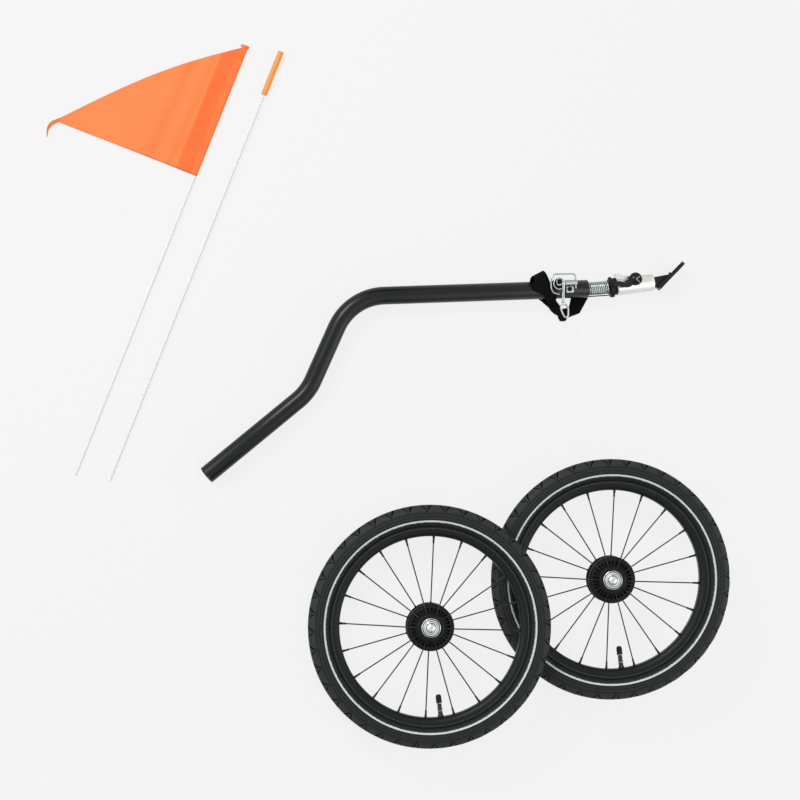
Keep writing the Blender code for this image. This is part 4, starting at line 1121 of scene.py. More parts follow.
class KIT_OT_hubs(bpy.types.Operator):
    """Moulded hubs with a ring of pockets, and the spokes that are seated in them"""

    bl_idname = "kit.hubs"
    bl_label = "Hubs and Spokes"

    def execute(self, context):
        on_wheels(self.front(), "hub_front_form", "wheel", "black_hub", "hub_front")
        profile = [
            (14.6, -13.0), (37.0, -13.9), (37.5, -14.3), (37.5, -16.8), (36.9, -17.3), (24.0, -19.0),
            (23.0, -19.2), (14.6, -19.2),
        ]
        rear = turned("rear", profile, moulded_nylon, steps=90)
        on_wheels(rear, "hub_rear_form", "wheel", "black_hub", "hub_rear")
        on_wheels(self.spokes(FRONT_FLANGE), "spokes_front", "wheel", "black_hub", "hub_front")
        on_wheels(self.spokes(REAR_FLANGE), "spokes_rear", "wheel", "black_hub", "hub_rear")
        on_wheels(self.nipples(), "spoke_nipples", "wheel", "black_hub")
        for side in WHEEL_PLACES:
            dress(moulded_nylon, "hub_barrel_" + side)
            dress(bearing_steel, "bearing_outer_" + side, "bearing_inner_" + side)
        return {"FINISHED"}

    def front(self):
        """Front flange: a cone boss, thirty pockets between thin ribs, and a raised edge ring."""
        before = [
            (16.3, 23.4), (16.7, 24.0), (19.7, 24.0), (20.3, 23.7), (21.6, 22.4), (24.0, 19.2),
            (24.6, 18.5),
        ]
        pocket = [(24.9, 18.4), (27.6, 17.8), (30.6, 17.1)]
        after = [
            (30.9, 17.0), (33.6, 16.4), (33.9, 16.0), (35.0, 15.8), (35.3, 16.3), (36.6, 16.1),
            (37.3, 15.5), (37.5, 14.8), (37.5, 11.2), (37.0, 10.6), (16.3, 9.3),
        ]
        start = SPOKE_CLOCK - ROUND / SPOKE_COUNT
        lines = []
        for index in range(HUB_POCKETS):
            for share, deep in ((0.0, 0), (0.14, 0), (0.155, 1), (0.5, 1), (0.845, 1), (0.86, 0)):
                angle = start + (index + share) * ROUND / HUB_POCKETS
                floor = [(radius, height - POCKET_DEPTH * deep) for radius, height in pocket]
                section = before + floor + after
                lines.append([polar(radius * MM, angle, height * MM) for radius, height in section])
        return form("front", lines, [moulded_nylon], loop_lines=True, sharp=30.0)

    @staticmethod
    def ends(flange):
        """Hub end and rim end of each spoke of one flange."""
        first, hub_radius, hub_height, rim_height = flange
        pairs = []
        for index in range(SPOKE_COUNT // 2):
            angle = SPOKE_CLOCK - (first + 2 * index) * ROUND / SPOKE_COUNT
            lean = SPOKE_LEAN if index % 2 else -SPOKE_LEAN
            pairs.append((polar(hub_radius, angle + lean, hub_height), polar(RIM_SEAT, angle, rim_height)))
        return pairs

    def spokes(self, flange):
        """Ten spokes, each with a moulded socket at the hub."""
        radius = settings("wheel_settings").spoke_radius / MM
        made = []
        for start, end in self.ends(flange):
            tip = (end - start).length / MM - 4.0
            profile = [
                (0, -1.2), (1.5, -1.0), (1.9, -0.2), (1.9, 2.6), (1.45, 4.4), (radius, 5.2), (radius, tip),
                (0, tip),
            ]
            made.append(turned("spoke", profile, coated_steel, aim(start, end), 14, range(5), moulded_nylon))
        return merged("spokes", made)

    def nipples(self):
        """Twenty nipples with their flats, seated in the rim."""
        profile = [
            (0, -11.0), (1.15, -11.0), (1.55, -10.4), (1.6, -4.0), (1.95, -3.4), (2.1, 0.4), (0, 0.6),
        ]
        made = []
        for start, end in self.ends(FRONT_FLANGE) + self.ends(REAR_FLANGE):
            made.append(turned("nipple", profile, coated_steel, aim(end, end + (end - start)), 12))
        return merged("nipples", made)


class KIT_OT_axles(bpy.types.Operator):
    """Quick-release axles with stepped caps, domed buttons, their springs and locking balls"""

    bl_idname = "kit.axles"
    bl_label = "Quick-Release Axles"

    def execute(self, context):
        profile = [
            (7.9, 26.8), (8.2, 27.2), (9.2, 27.1), (9.7, 26.8), (9.75, 26.1), (10.3, 26.0), (10.5, 26.5),
            (12.4, 26.8), (12.6, 26.6), (12.7, 25.9), (13.4, 25.8), (13.5, 26.3), (14.4, 26.2),
            (15.2, 25.6), (15.7, 24.7), (15.8, 23.6), (15.6, 20.8), (15.2, 20.2), (9.2, 12.5), (8.8, 12.3),
            (3.3, 12.3), (3.3, 13.3), (7.9, 13.3),
        ]
        # The cap's parting grooves take a darker grey, a painted shade
        cap = turned("cap", profile, chrome, steps=96, bands=(3, 4, 5, 9, 10, 11), second=cap_groove_painted_shade)
        on_wheels(cap, "axle_cap_form", "axle", "chromed_cap", "axle_cap")
        profile = [
            (0, 30.5), (2.0, 30.4), (4.0, 29.9), (5.6, 29.1), (6.8, 28.1), (7.4, 27.1), (7.6, 26.2),
            (7.6, 25.2), (2.6, 25.2), (2.6, -28.5), (1.4, -29.8), (2.6, -35.0), (2.6, -37.0), (2.9, -38.0),
            (2.9, -39.5), (0, -39.5),
        ]
        button = turned("button", profile, chrome, steps=64)
        on_wheels(button, "button_form", "button", "chromed_cap", "release_button")
        low, high = spot(0, 0, 13.9), spot(0, 0, 24.6)
        coil = [polar(0.0055, turn * math.pi / 12) + low.lerp(high, turn / 96) for turn in range(97)]
        for side in WHEEL_PLACES:
            place = wheel_place(side)
            spring = wire("button_coil_" + side, coil, 0.00045, zinc_plate, place, 8)
            bodies = (side + "_axle", side + "_button")
            bridge(spring, bodies, place @ low, place @ high, "bright_zinc", "button_spring_" + side)
            dress(zinc_plate, "axle_" + side)
            dress(bearing_steel, "lock_ball_" + side + "_a", "lock_ball_" + side + "_b")
        return {"FINISHED"}


# Drawbar


def bent_path():
    """Centre line of the tube from its lower end to the hitch end, in the drawbar's frame."""
    upper = Vector((-TOP_STRAIGHT, 0.0))
    lower = upper - MIDDLE_STRAIGHT * Vector((math.cos(UPPER_ELBOW), math.sin(UPPER_ELBOW)))
    heading = UPPER_ELBOW - LOWER_ELBOW
    foot = lower - LOWER_STRAIGHT * Vector((math.cos(heading), math.sin(heading)))
    stops = [foot, lower, upper, Vector((0.0, 0.0))]
    points = [foot]
    for before, corner, after in zip(stops, stops[1:], stops[2:]):
        arriving = (corner - before).normalized()
        bend = arriving.angle_signed((after - corner).normalized())
        start = corner - arriving * BEND_RADIUS * math.tan(abs(bend) / 2)
        side = 1.0 if bend < 0 else -1.0
        centre = start + side * BEND_RADIUS * Vector((-arriving.y, arriving.x))
        first = math.atan2(start.y - centre.y, start.x - centre.x)
        count = max(2, round(abs(bend) / BEND_STEP))
        last = first + side * abs(bend)
        points += [Vector(point) for point in arc(centre, BEND_RADIUS, first, last, count)]
    return points + [stops[-1]]


class KIT_OT_tube(bpy.types.Operator):
    """Bent drawbar tube with rounded mouths, its plug, screw and saddle washer"""

    bl_idname = "kit.tube"
    bl_label = "Drawbar Tube"

    def execute(self, context):
        path = bent_path()
        last = len(path) - 1
        stations = []
        for index, point in enumerate(path):
            stations.append((point, (path[min(index + 1, last)] - path[max(index - 1, 0)]).normalized()))
        run = self.wall(stations, TUBE_RADIUS, TUBE_RADIUS - TUBE_EDGE)
        run += self.wall(stations, TUBE_RADIUS - TUBE_WALL, TUBE_RADIUS - TUBE_WALL + TUBE_EDGE)[::-1]
        lines = []
        for point, along, radius in run:
            across = Vector((-along.y, along.x, 0.0))
            lines.append(hoop(point.to_3d(), radius, across, UP, 56))
        piece = form("bent_tube", lines, [powder_coat], drawbar_place(), loop_lines=True, sharp=50.0)
        setting(piece, "drawbar", "black_powder_coat", "drawbar_tube")
        dress(moulded_nylon, "tube_plug", "plug_screw")
        dress(zinc_plate, "saddle_washer")
        return {"FINISHED"}

    @staticmethod
    def wall(stations, radius, mouth_radius):
        """Point, heading and radius of the stations of one wall, with a rounded edge at each mouth."""
        (foot, first), (mouth, last) = stations[0], stations[-1]
        run = [(foot, first, mouth_radius), (foot + first * TUBE_EDGE, first, radius)]
        run += [(point, along, radius) for point, along in stations[1:-1]]
        return run + [(mouth - last * TUBE_EDGE, last, radius), (mouth, last, mouth_radius)]


class KIT_OT_spring(bpy.types.Operator):
    """Coupling spring in two halves that bend with the hitch, and the safety band under it"""

    bl_idname = "kit.spring"
    bl_label = "Coupling Spring"

    def execute(self, context):
        place = drawbar_place()
        low, middle, high = (place @ self.centre(at) for at in (SPRING_START, SPRING_MIDDLE, SPRING_END))
        halves = ((("drawbar", "flex_core"), 0.0, SPRING_SPLIT, low, middle),
                  (("flex_core", "head"), SPRING_SPLIT, 1.0, middle, high))
        section = [(0.55, -5.6), (0.75, -5.3), (0.75, 5.3), (0.55, 5.6)]
        section += [(-across, level) for across, level in reversed(section)]
        for bodies, first, last, start, end in halves:
            radius = settings("drawbar_settings").spring_wire
            piece = wire("spring_" + bodies[0], self.coil(first, last), radius, zinc_plate, place, 12)
            bridge(piece, bodies, start, end, "bright_zinc", "coupling_spring")
            begin, finish = (Vector(BAND_START).lerp(Vector(BAND_END), share) for share in (first, last))
            lines = []
            for step in range(13):
                point = begin.lerp(finish, step / 12)
                lines.append([point + spot(0, across, level) for across, level in section])
            band = form("band_" + bodies[0], lines, [webbing], place, caps=True,
                        uv=lambda line, index: (line * 0.0017, section[index][1] * MM))
            bridge(band, bodies, start, end, "black_webbing", "safety_band")
            length = round((finish - begin).length, 4)
            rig.sheet(band, flat=(BAND_WIDTH, length), held="stretched", rests_on=["tube_plug", "head_collar"])
        dress(zinc_plate, "flex_link")
        return {"FINISHED"}

    @staticmethod
    def centre(along):
        """Centre line of the spring, which sets off straight and arrives along the hitch head."""
        return Vector((along, math.tan(HEAD_YAW) / (2 * SPRING_END) * along * along, 0.0))

    def coil(self, first, last):
        """Points of the wire between two shares of its length."""
        count = round((last - first) * SPRING_TURNS * 28)
        points = []
        for index in range(count + 1):
            share = first + (last - first) * index / count
            along = SPRING_START + share * (SPRING_END - SPRING_START)
            slope = math.atan(math.tan(HEAD_YAW) / SPRING_END * along)
            angle = share * SPRING_TURNS * ROUND
            across = Vector((-math.sin(slope), math.cos(slope), 0.0))
            out = math.cos(angle) * across + math.sin(angle) * UP
            points.append(self.centre(along) + SPRING_RADIUS * out)
        return points


class KIT_OT_hitch_head(bpy.types.Operator):
    """Hitch head: moulded collar, turned housing with its ear and window, lock pin, knob, clip and strap"""

    bl_idname = "kit.hitch_head"
    bl_label = "Hitch Head"

    def execute(self, context):
        profile = [
            (0, 39.5), (9.3, 39.5), (9.6, 39.2), (9.6, 31.7), (13.3, 31.7), (13.8, 31.2), (13.8, 27.0),
            (13.6, 26.7), (13.6, 25.9), (13.8, 25.6), (13.8, 21.6), (13.2, 20.7), (12.6, 20.2), (7.2, 20.2),
            (7.2, 15.6), (0, 15.6),
        ]
        collar = turned("collar", profile, moulded_nylon, along_head(), 64)
        for along, across, reach, radius in ((23.2, 13.8, 4.0, 2.1), (24.7, -14.2, 6.2, 3.0)):
            low, high = (spot(along, across, level) for level in (-reach, reach))
            length = 2 * reach
            lug = [
                (0, length), (radius - 0.5, length), (radius, length - 0.5), (radius, 0.5),
                (radius - 0.5, 0), (0, 0),
            ]
            combine(collar, turned("lug", lug, moulded_nylon, head_place() @ aim(low, high), 24))
        setting(collar, "head", "black_nylon", "head_collar")
        setting(self.housing(), "head", "turned_aluminium", "hitch_housing")
        self.pin()
        setting(self.clip(), "pin", "bright_zinc", "pin_clip")
        self.strap()
        return {"FINISHED"}

    def housing(self):
        """Turned housing with a raised ear, a window for the strap, and a bore for the pin."""
        profile = [
            (0, 46), (8, 46), (8, 94.2), (8.5, 94.9), (12.2, 94.9), (12.9, 94.5), (13.15, 93.8),
            (13.3, 91.5), (13.0, 91.1), (13.05, 90.7), (13.4, 90.2), (15.1, 36.0), (15.2, 33.2),
            (14.9, 32.3), (14.4, 32.0), (10, 32), (10, 41), (0, 41),
        ]
        housing = turned("housing_form", profile, turned_aluminium, along_head(), 96)
        head = head_place()
        ear = [
            (32.2, 10.0), (31.8, 19.6), (34.5, 19.9), (37.2, 19.8), (40.0, 17.6), (42.5, 16.0),
            (47.0, 15.3), (52.0, 15.1), (54.5, 12.8), (56.0, 9.0),
        ]
        combine(housing, slab("ear", ear, -4.5, 10.5, turned_aluminium, head, bevel=0.6))
        window = [(29.0, -3.5), (50.0, -3.5), (50.0, 8.8), (29.0, 8.8)]
        combine(housing, slab("window", window, 10.5, 20.0, turned_aluminium, head, bevel=0), "DIFFERENCE")
        bore = [(0, 30), (3.3, 30), (3.3, 0), (0, 0)]
        drill = turned("bore", bore, turned_aluminium, head_place(*PIN_PLACE, -10.0), 32)
        combine(housing, drill, "DIFFERENCE")
        return housing

    def pin(self):
        """Lock pin and its knob."""
        profile = [
            (0, 18.6), (4.2, 18.6), (4.5, 18.3), (4.5, 14.9), (4.2, 14.6), (3.0, 14.6), (3.0, -8.0),
            (2.0, -9.0), (0, -9.0),
        ]
        pin = turned("pin_form", profile, zinc_plate, head_place(*PIN_PLACE), 40)
        setting(pin, "pin", "bright_zinc", "lock_pin")
        profile = [
            (0, 24.6), (2.4, 24.5), (2.9, 24.9), (4.5, 24.7), (6.2, 23.9), (7.2, 22.6), (7.6, 21.0),
            (7.3, 19.9), (6.6, 18.9), (0, 18.9),
        ]
        place = head_place(PIN_PLACE[0] + 2.2, PIN_PLACE[1] - 1.0)
        setting(turned("knob_form", profile, moulded_nylon, place, 48), "pin", "black_nylon", "pin_knob")

    def clip(self):
        """Spring clip, a bent silver wire on the knob."""
        tip, upper, lower = spot(59.7, 8.3, 26.2), spot(66.2, 11.3, 26.2), spot(64.7, 2.5, 26.2)
        near = [upper, upper.lerp(tip, 0.75), tip, lower.lerp(tip, 0.75), lower]
        return wire("clip_form", spline(near, 6), 0.0006, zinc_plate, head_place(), 10)

    def strap(self):
        """Rubber strap from the collar to a ring round the pin."""
        outline = arc(PIN_PLACE, 10.5, math.radians(160.0), math.radians(-125.0), 40)
        for side in ([(53.0, -3.0), (46.0, -4.2), (38.0, -2.4), (30.0, 0.0), (23.5, 0.4)],
                     [(23.5, 7.8), (32.0, 7.6), (38.0, 6.6), (42.5, 4.6), (47.0, 8.0)]):
            outline += [tuple(point) for point in spline(side, 6)]
        eye = circle(PIN_PLACE, 5.1, 32)
        head = head_place()
        piece = slab("strap_form", outline, 14.9, 18.1, strap_rubber, head, [eye], 0.7)
        refine = piece.modifiers.new("cuts", "REMESH")
        refine.mode = "VOXEL"
        refine.voxel_size = 0.00045
        refine.use_smooth_shade = True
        apply(piece)
        start, end = head @ spot(30.0, 3.0, 16.0), head @ spot(50.5, 3.0, 16.0)
        bridge(piece, ("head", "pin"), start, end, "strap_rubber", "pin_strap")


class KIT_OT_bracket(bpy.types.Operator):
    """The bicycle's bracket: grooved shank, gusseted tongue and slotted-edge plate with its weld"""

    bl_idname = "kit.bracket"
    bl_label = "Bicycle Bracket"

    def execute(self, context):
        groove = PIN_PLACE[0]
        profile = [
            (0, 96), (7.7, 96), (7.7, groove + 4.1), (7.2, groove + 3.6), (4.8, groove + 3.4),
            (4.8, groove - 3.4), (7.2, groove - 3.6), (7.7, groove - 4.1), (7.7, 48.5), (6.5, 47), (0, 47),
        ]
        bracket = turned("bracket_form", profile, powder_coat, along_head(), 56)
        outline = [(95.2, -7.7), (101.0, -10.8), (106.0, -12.2), (125.0, 4.0), (123.9, 9.9), (95.2, 7.7)]
        combine(bracket, slab("tongue", outline, -7.4, 7.4, powder_coat, head_place(), bevel=0.8))
        eye, width = (44.5, 0.0), 15.0
        outline = [(0.0, 3.0 - width), (1.0, 1.0 - width), (3.0, -width)]
        outline += arc(eye, width, -math.pi / 2, math.pi / 2, 36)
        outline += [(3.0, width), (1.0, width - 1.0), (0.0, width - 3.0)]
        lean = Matrix.Rotation(math.radians(38.4), 4, "Z") @ Matrix.Rotation(math.radians(78.0), 4, "X")
        place = head_place(105.9, -13.2) @ lean
        combine(bracket, slab("plate", outline, -6.0, 0.0, powder_coat, place, [circle(eye, 6.5, 40)], 0.5))
        lug = [(0, 5.0), (1.5, 5.0), (2.0, 4.5), (2.0, 0), (0, 0)]
        place = head_place() @ aim(spot(126.2, 8.0, 0.0), spot(124.6, 12.2, 0.0))
        combine(bracket, turned("lug", lug, powder_coat, place, 20))
        setting(bracket, "bracket", "black_powder_coat", "hitch_bracket")
        return {"FINISHED"}


class KIT_OT_clip_hardware(bpy.types.Operator):
    """Anchor boss and screw, ring pin, wire bail, snap hook, gate and swivel eye"""

    bl_idname = "kit.clip_hardware"
    bl_label = "Clip Hardware"

    def execute(self, context):
        place = drawbar_place()
        ring = [spot(*point, RING_LEVEL) for point in circle((-51.5, 9.1), 8.7, 72)]
        pin = wire("ring_form", ring, 0.0013, zinc_plate, place, 16, closed=True)
        profile = [
            (0, 20.9), (3.7, 20.9), (4.3, 20.2), (4.3, 14.2), (3.9, 13.8), (3.9, 12.6), (4.3, 12.2),
            (4.3, 0.7), (3.7, 0), (0, 0),
        ]
        near, far = (spot(along, 10.2, RING_LEVEL - 0.4) for along in (-42.4, -21.5))
        combine(pin, turned("barrel", profile, zinc_plate, place @ aim(near, far), 40))
        hinge = [(0, 20), (1.7, 20), (1.7, 0), (0, 0)]
        start, end = (spot(-24.0, across, RING_LEVEL) for across in (0.0, 20.0))
        combine(pin, turned("hinge", hinge, zinc_plate, place @ aim(start, end), 24), "DIFFERENCE")
        setting(pin, "ring", "bright_zinc", "ring_pin")
        bail = [(-24.0, 1.0), (-24.0, 10.0), (-24.0, 18.0)]
        bail += arc((-29.0, 19.0), 5.0, 0.0, math.pi / 2, 3)[1:]
        bail += arc((-54.0, 14.0), 10.6, math.radians(100.0), math.pi, 4)
        bail += arc((-54.0, 3.5), 10.6, math.pi, math.radians(245.0), 3)
        line = spline([spot(*point, RING_LEVEL) for point in [*bail, (-51.5, -7.8)]], 6)
        setting(wire("bail_form", line, 0.0013, zinc_plate, place), "bail", "bright_zinc", "wire_bail")
        self.hook(place)
        dress(moulded_nylon, "anchor_boss", "anchor_screw")
        return {"FINISHED"}

    @staticmethod
    def point(across, along, height=0.0):
        """A point of the snap hook from its nose's centre, in its tilted plane."""
        ahead = along * math.cos(HOOK_TILT) - height * math.sin(HOOK_TILT)
        rise = along * math.sin(HOOK_TILT) + height * math.cos(HOOK_TILT)
        return spot(-52.4 + across, 12.2 + ahead, 25.0 + rise)

    def hook(self, place):
        """Snap hook with its gate and swivel eye."""
        sweep = arc((0.0, 0.0), 5.2, math.radians(-128.0), math.radians(126.0), 40)
        hook = wire("hook_form", [self.point(*point) for point in sweep], 0.0015, zinc_plate, place, 16)
        profile = [
            (0, 35.5), (1.9, 35.5), (2.4, 34.9), (2.4, 22.0), (2.1, 21.4), (2.1, 20.0), (2.4, 19.4),
            (2.4, 4.0), (1.9, 1.0), (1.5, 0), (0, 0),
        ]
        body = place @ aim(self.point(6.8, 2.5), self.point(6.8, -33.0))
        combine(hook, turned("body", profile, zinc_plate, body, 32))
        setting(hook, "hook", "bright_zinc", "snap_hook")
        gate = [self.point(-4.4, along) for along in (-2.2, 0.2, 2.6)]
        setting(wire("gate_form", gate, 0.0009, zinc_plate, place, 12), "gate", "bright_zinc", "snap_gate")
        loop = [
            (6.8, -36.0), (11.0, -38.4), (14.0, -41.5), (15.1, -45.0), (15.3, -51.0), (15.0, -55.8),
            (13.0, -58.0), (9.6, -57.4), (6.8, -53.0), (4.4, -47.5), (3.0, -43.0), (3.6, -39.0),
        ]
        line = spline([self.point(*point) for point in loop], 5, closed=True)
        eye = wire("eye_form", line, 0.0015, zinc_plate, place, 14, closed=True)
        profile = [(0, 3.9), (2.0, 3.9), (2.4, 3.4), (2.4, 0.5), (2.0, 0), (0, 0)]
        barrel = place @ aim(self.point(6.8, -33.4), self.point(6.8, -37.3))
        combine(eye, turned("barrel", profile, zinc_plate, barrel, 32))
        setting(eye, "swivel", "bright_zinc", "snap_swivel")


class KIT_OT_strap(bpy.types.Operator):
    """Safety strap of woven webbing: a flat V under the tube, folded up behind it and over its front"""

    bl_idname = "kit.strap"
    bl_label = "Safety Strap"

    def execute(self, context):
        place = drawbar_place()
        outline = [
            (-91.0, -4.0), (-73.1, -17.0), (-47.0, -40.8), (-45.6, -46.2), (-41.0, -51.0), (-30.3, -45.2),
            (-10.0, -39.0), (5.6, -13.9), (0.0, -5.0), (-21.0, -5.0), (-27.2, -28.3), (-38.0, -31.0),
            (-50.0, -14.6), (-50.0, -5.0), (-65.0, -4.0),
        ]
        flat = slab("strap_flat", outline, -16.0, -14.7, webbing, place, bevel=0.3)
        layer = flat.data.uv_layers.active or flat.data.uv_layers.new(name="weave")
        for loop in flat.data.loops:
            corner = flat.data.vertices[loop.vertex_index].co
            layer.data[loop.index].uv = (corner.x + corner.y, corner.y - corner.x)
        setting(flat, "drawbar", "black_webbing", "safety_strap")
        area = sum(face.area for face in flat.data.polygons if face.normal.z > 0.7)
        length = round(area / STRAP_WIDTH, 4)
        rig.sheet(flat, flat=(STRAP_WIDTH, length), held="folded", rests_on=["bent_tube"])
        # The two edges of the folded stretch, from under the tube, up behind it, over it and down its front
        edges = [
            ((-91.0, -6.0, -13.9), (-64.0, -6.0, -13.9)),
            ((-91.0, 8.0, -14.6), (-66.0, 9.0, -14.6)),
            ((-91.0, 16.5, -12.5), (-69.0, 20.0, -13.0)),
            ((-90.8, 21.5, -5.0), (-71.0, 29.0, -6.0)),
            ((-90.6, 22.2, 4.0), (-72.0, 30.8, 3.0)),
            ((-90.6, 19.5, 12.0), (-70.0, 26.0, 11.5)),
            ((-91.0, 10.0, 16.2), (-66.9, 15.0, 16.5)),
            ((-91.6, 0.0, 16.2), (-66.5, 6.5, 16.8)),
            ((-80.0, -7.0, 15.0), (-61.0, 0.0, 16.8)),
            ((-71.5, -12.8, 9.2), (-55.0, -8.5, 13.5)),
            ((-68.0, -18.0, 1.0), (-53.5, -16.5, 5.0)),
            ((-64.0, -27.0, -6.0), (-50.5, -25.0, -3.0)),
            ((-58.0, -36.5, -4.0), (-46.0, -34.0, 2.0)),
            ((-50.0, -43.5, 6.2), (-39.5, -43.5, 9.6)),
            ((-47.5, -48.5, 4.3), (-38.5, -49.0, 6.7)),
            ((-45.5, -50.0, -6.0), (-39.5, -50.5, -5.0)),
            ((-44.8, -48.5, -14.0), (-39.5, -48.5, -14.0)),
        ]
        low, high = (spline([spot(*pair[side]) for pair in edges], 6) for side in (0, 1))
        ribbon = self.ribbon(low, high)
        ribbon.matrix_world = place
        setting(ribbon, "drawbar", "black_webbing", "safety_strap")
        length = sum(((a + c) / 2 - (b + d) / 2).length for a, b, c, d in zip(low, low[1:], high, high[1:]))
        width = sum((a - b).length for a, b in zip(low, high)) / len(low)
        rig.sheet(ribbon, flat=(round(width, 4), round(length, 4)), held="folded", rests_on=["bent_tube"])
        return {"FINISHED"}

    @staticmethod
    def ribbon(low, high):
        """Webbing between two edges, with rounded selvedges."""
        across = [0.0, 0.04, 0.15, 0.3, 0.5, 0.7, 0.85, 0.96, 1.0]
        lines = []
        reach = 0.0
        along_edge = []
        for index, (left, right) in enumerate(zip(low, high)):
            before, after = max(index - 1, 0), min(index + 1, len(low) - 1)
            along = ((low[after] + high[after]) - (low[before] + high[before])).normalized()
            normal = along.cross(right - left).normalized()
            reach += (left + right - low[before] - high[before]).length / 2 if index else 0.0
            along_edge.append(reach)
            half = [normal * STRAP_HALF * (0.55 if share in (0.0, 1.0) else 1.0) for share in across]
            upper = [left.lerp(right, share) + rise for share, rise in zip(across, half)]
            lower = [left.lerp(right, share) - rise for share, rise in zip(across, half)]
            lines.append(upper + lower[::-1])
        places = across + across[::-1]

        def uv(line, index):
            return places[index] * (low[line] - high[line]).length, along_edge[line]

        return form("strap_folded", lines, [webbing], caps=True, uv=uv)


# Flag


class KIT_OT_flag_rods(bpy.types.Operator):
    """Fibreglass rods and the sleeve that joins them"""

    bl_idname = "kit.flag_rods"
    bl_label = "Flag Rods"

    def execute(self, context):
        for name, ends, body, cut in (
            ("upper_rod", UPPER_ROD, "flag_rod", 0.004),
            ("lower_rod", LOWER_ROD, "foot_rod", SLEEVE_LENGTH / 2),
        ):
            place, length = rod_place(ends)
            top = (length - cut) / MM
            profile = [(0, 0), (ROD_RADIUS - 0.3, 0), (ROD_RADIUS, 0.3)]
            profile += [(ROD_RADIUS, top * share / 8) for share in range(1, 8)]
            profile += [(ROD_RADIUS, top - 0.3), (ROD_RADIUS - 0.3, top), (0, top)]
            setting(turned(name + "_form", profile, fibreglass, place, 28), body, "white_fibreglass", name)
        start = (length - SLEEVE_LENGTH) / MM
        end = length / MM
        profile = [
            (2.3, end - 0.3), (2.6, end), (4.4, end), (4.75, end - 0.4), (4.75, start + 3.0),
            (4.6, start + 1.5), (4.0, start), (2.6, start), (2.3, start + 0.3),
        ]
        sleeve = turned("sleeve_form", profile, vinyl_sleeve, place)
        setting(sleeve, "foot_rod", "orange_sleeve", "joining_sleeve")
        return {"FINISHED"}


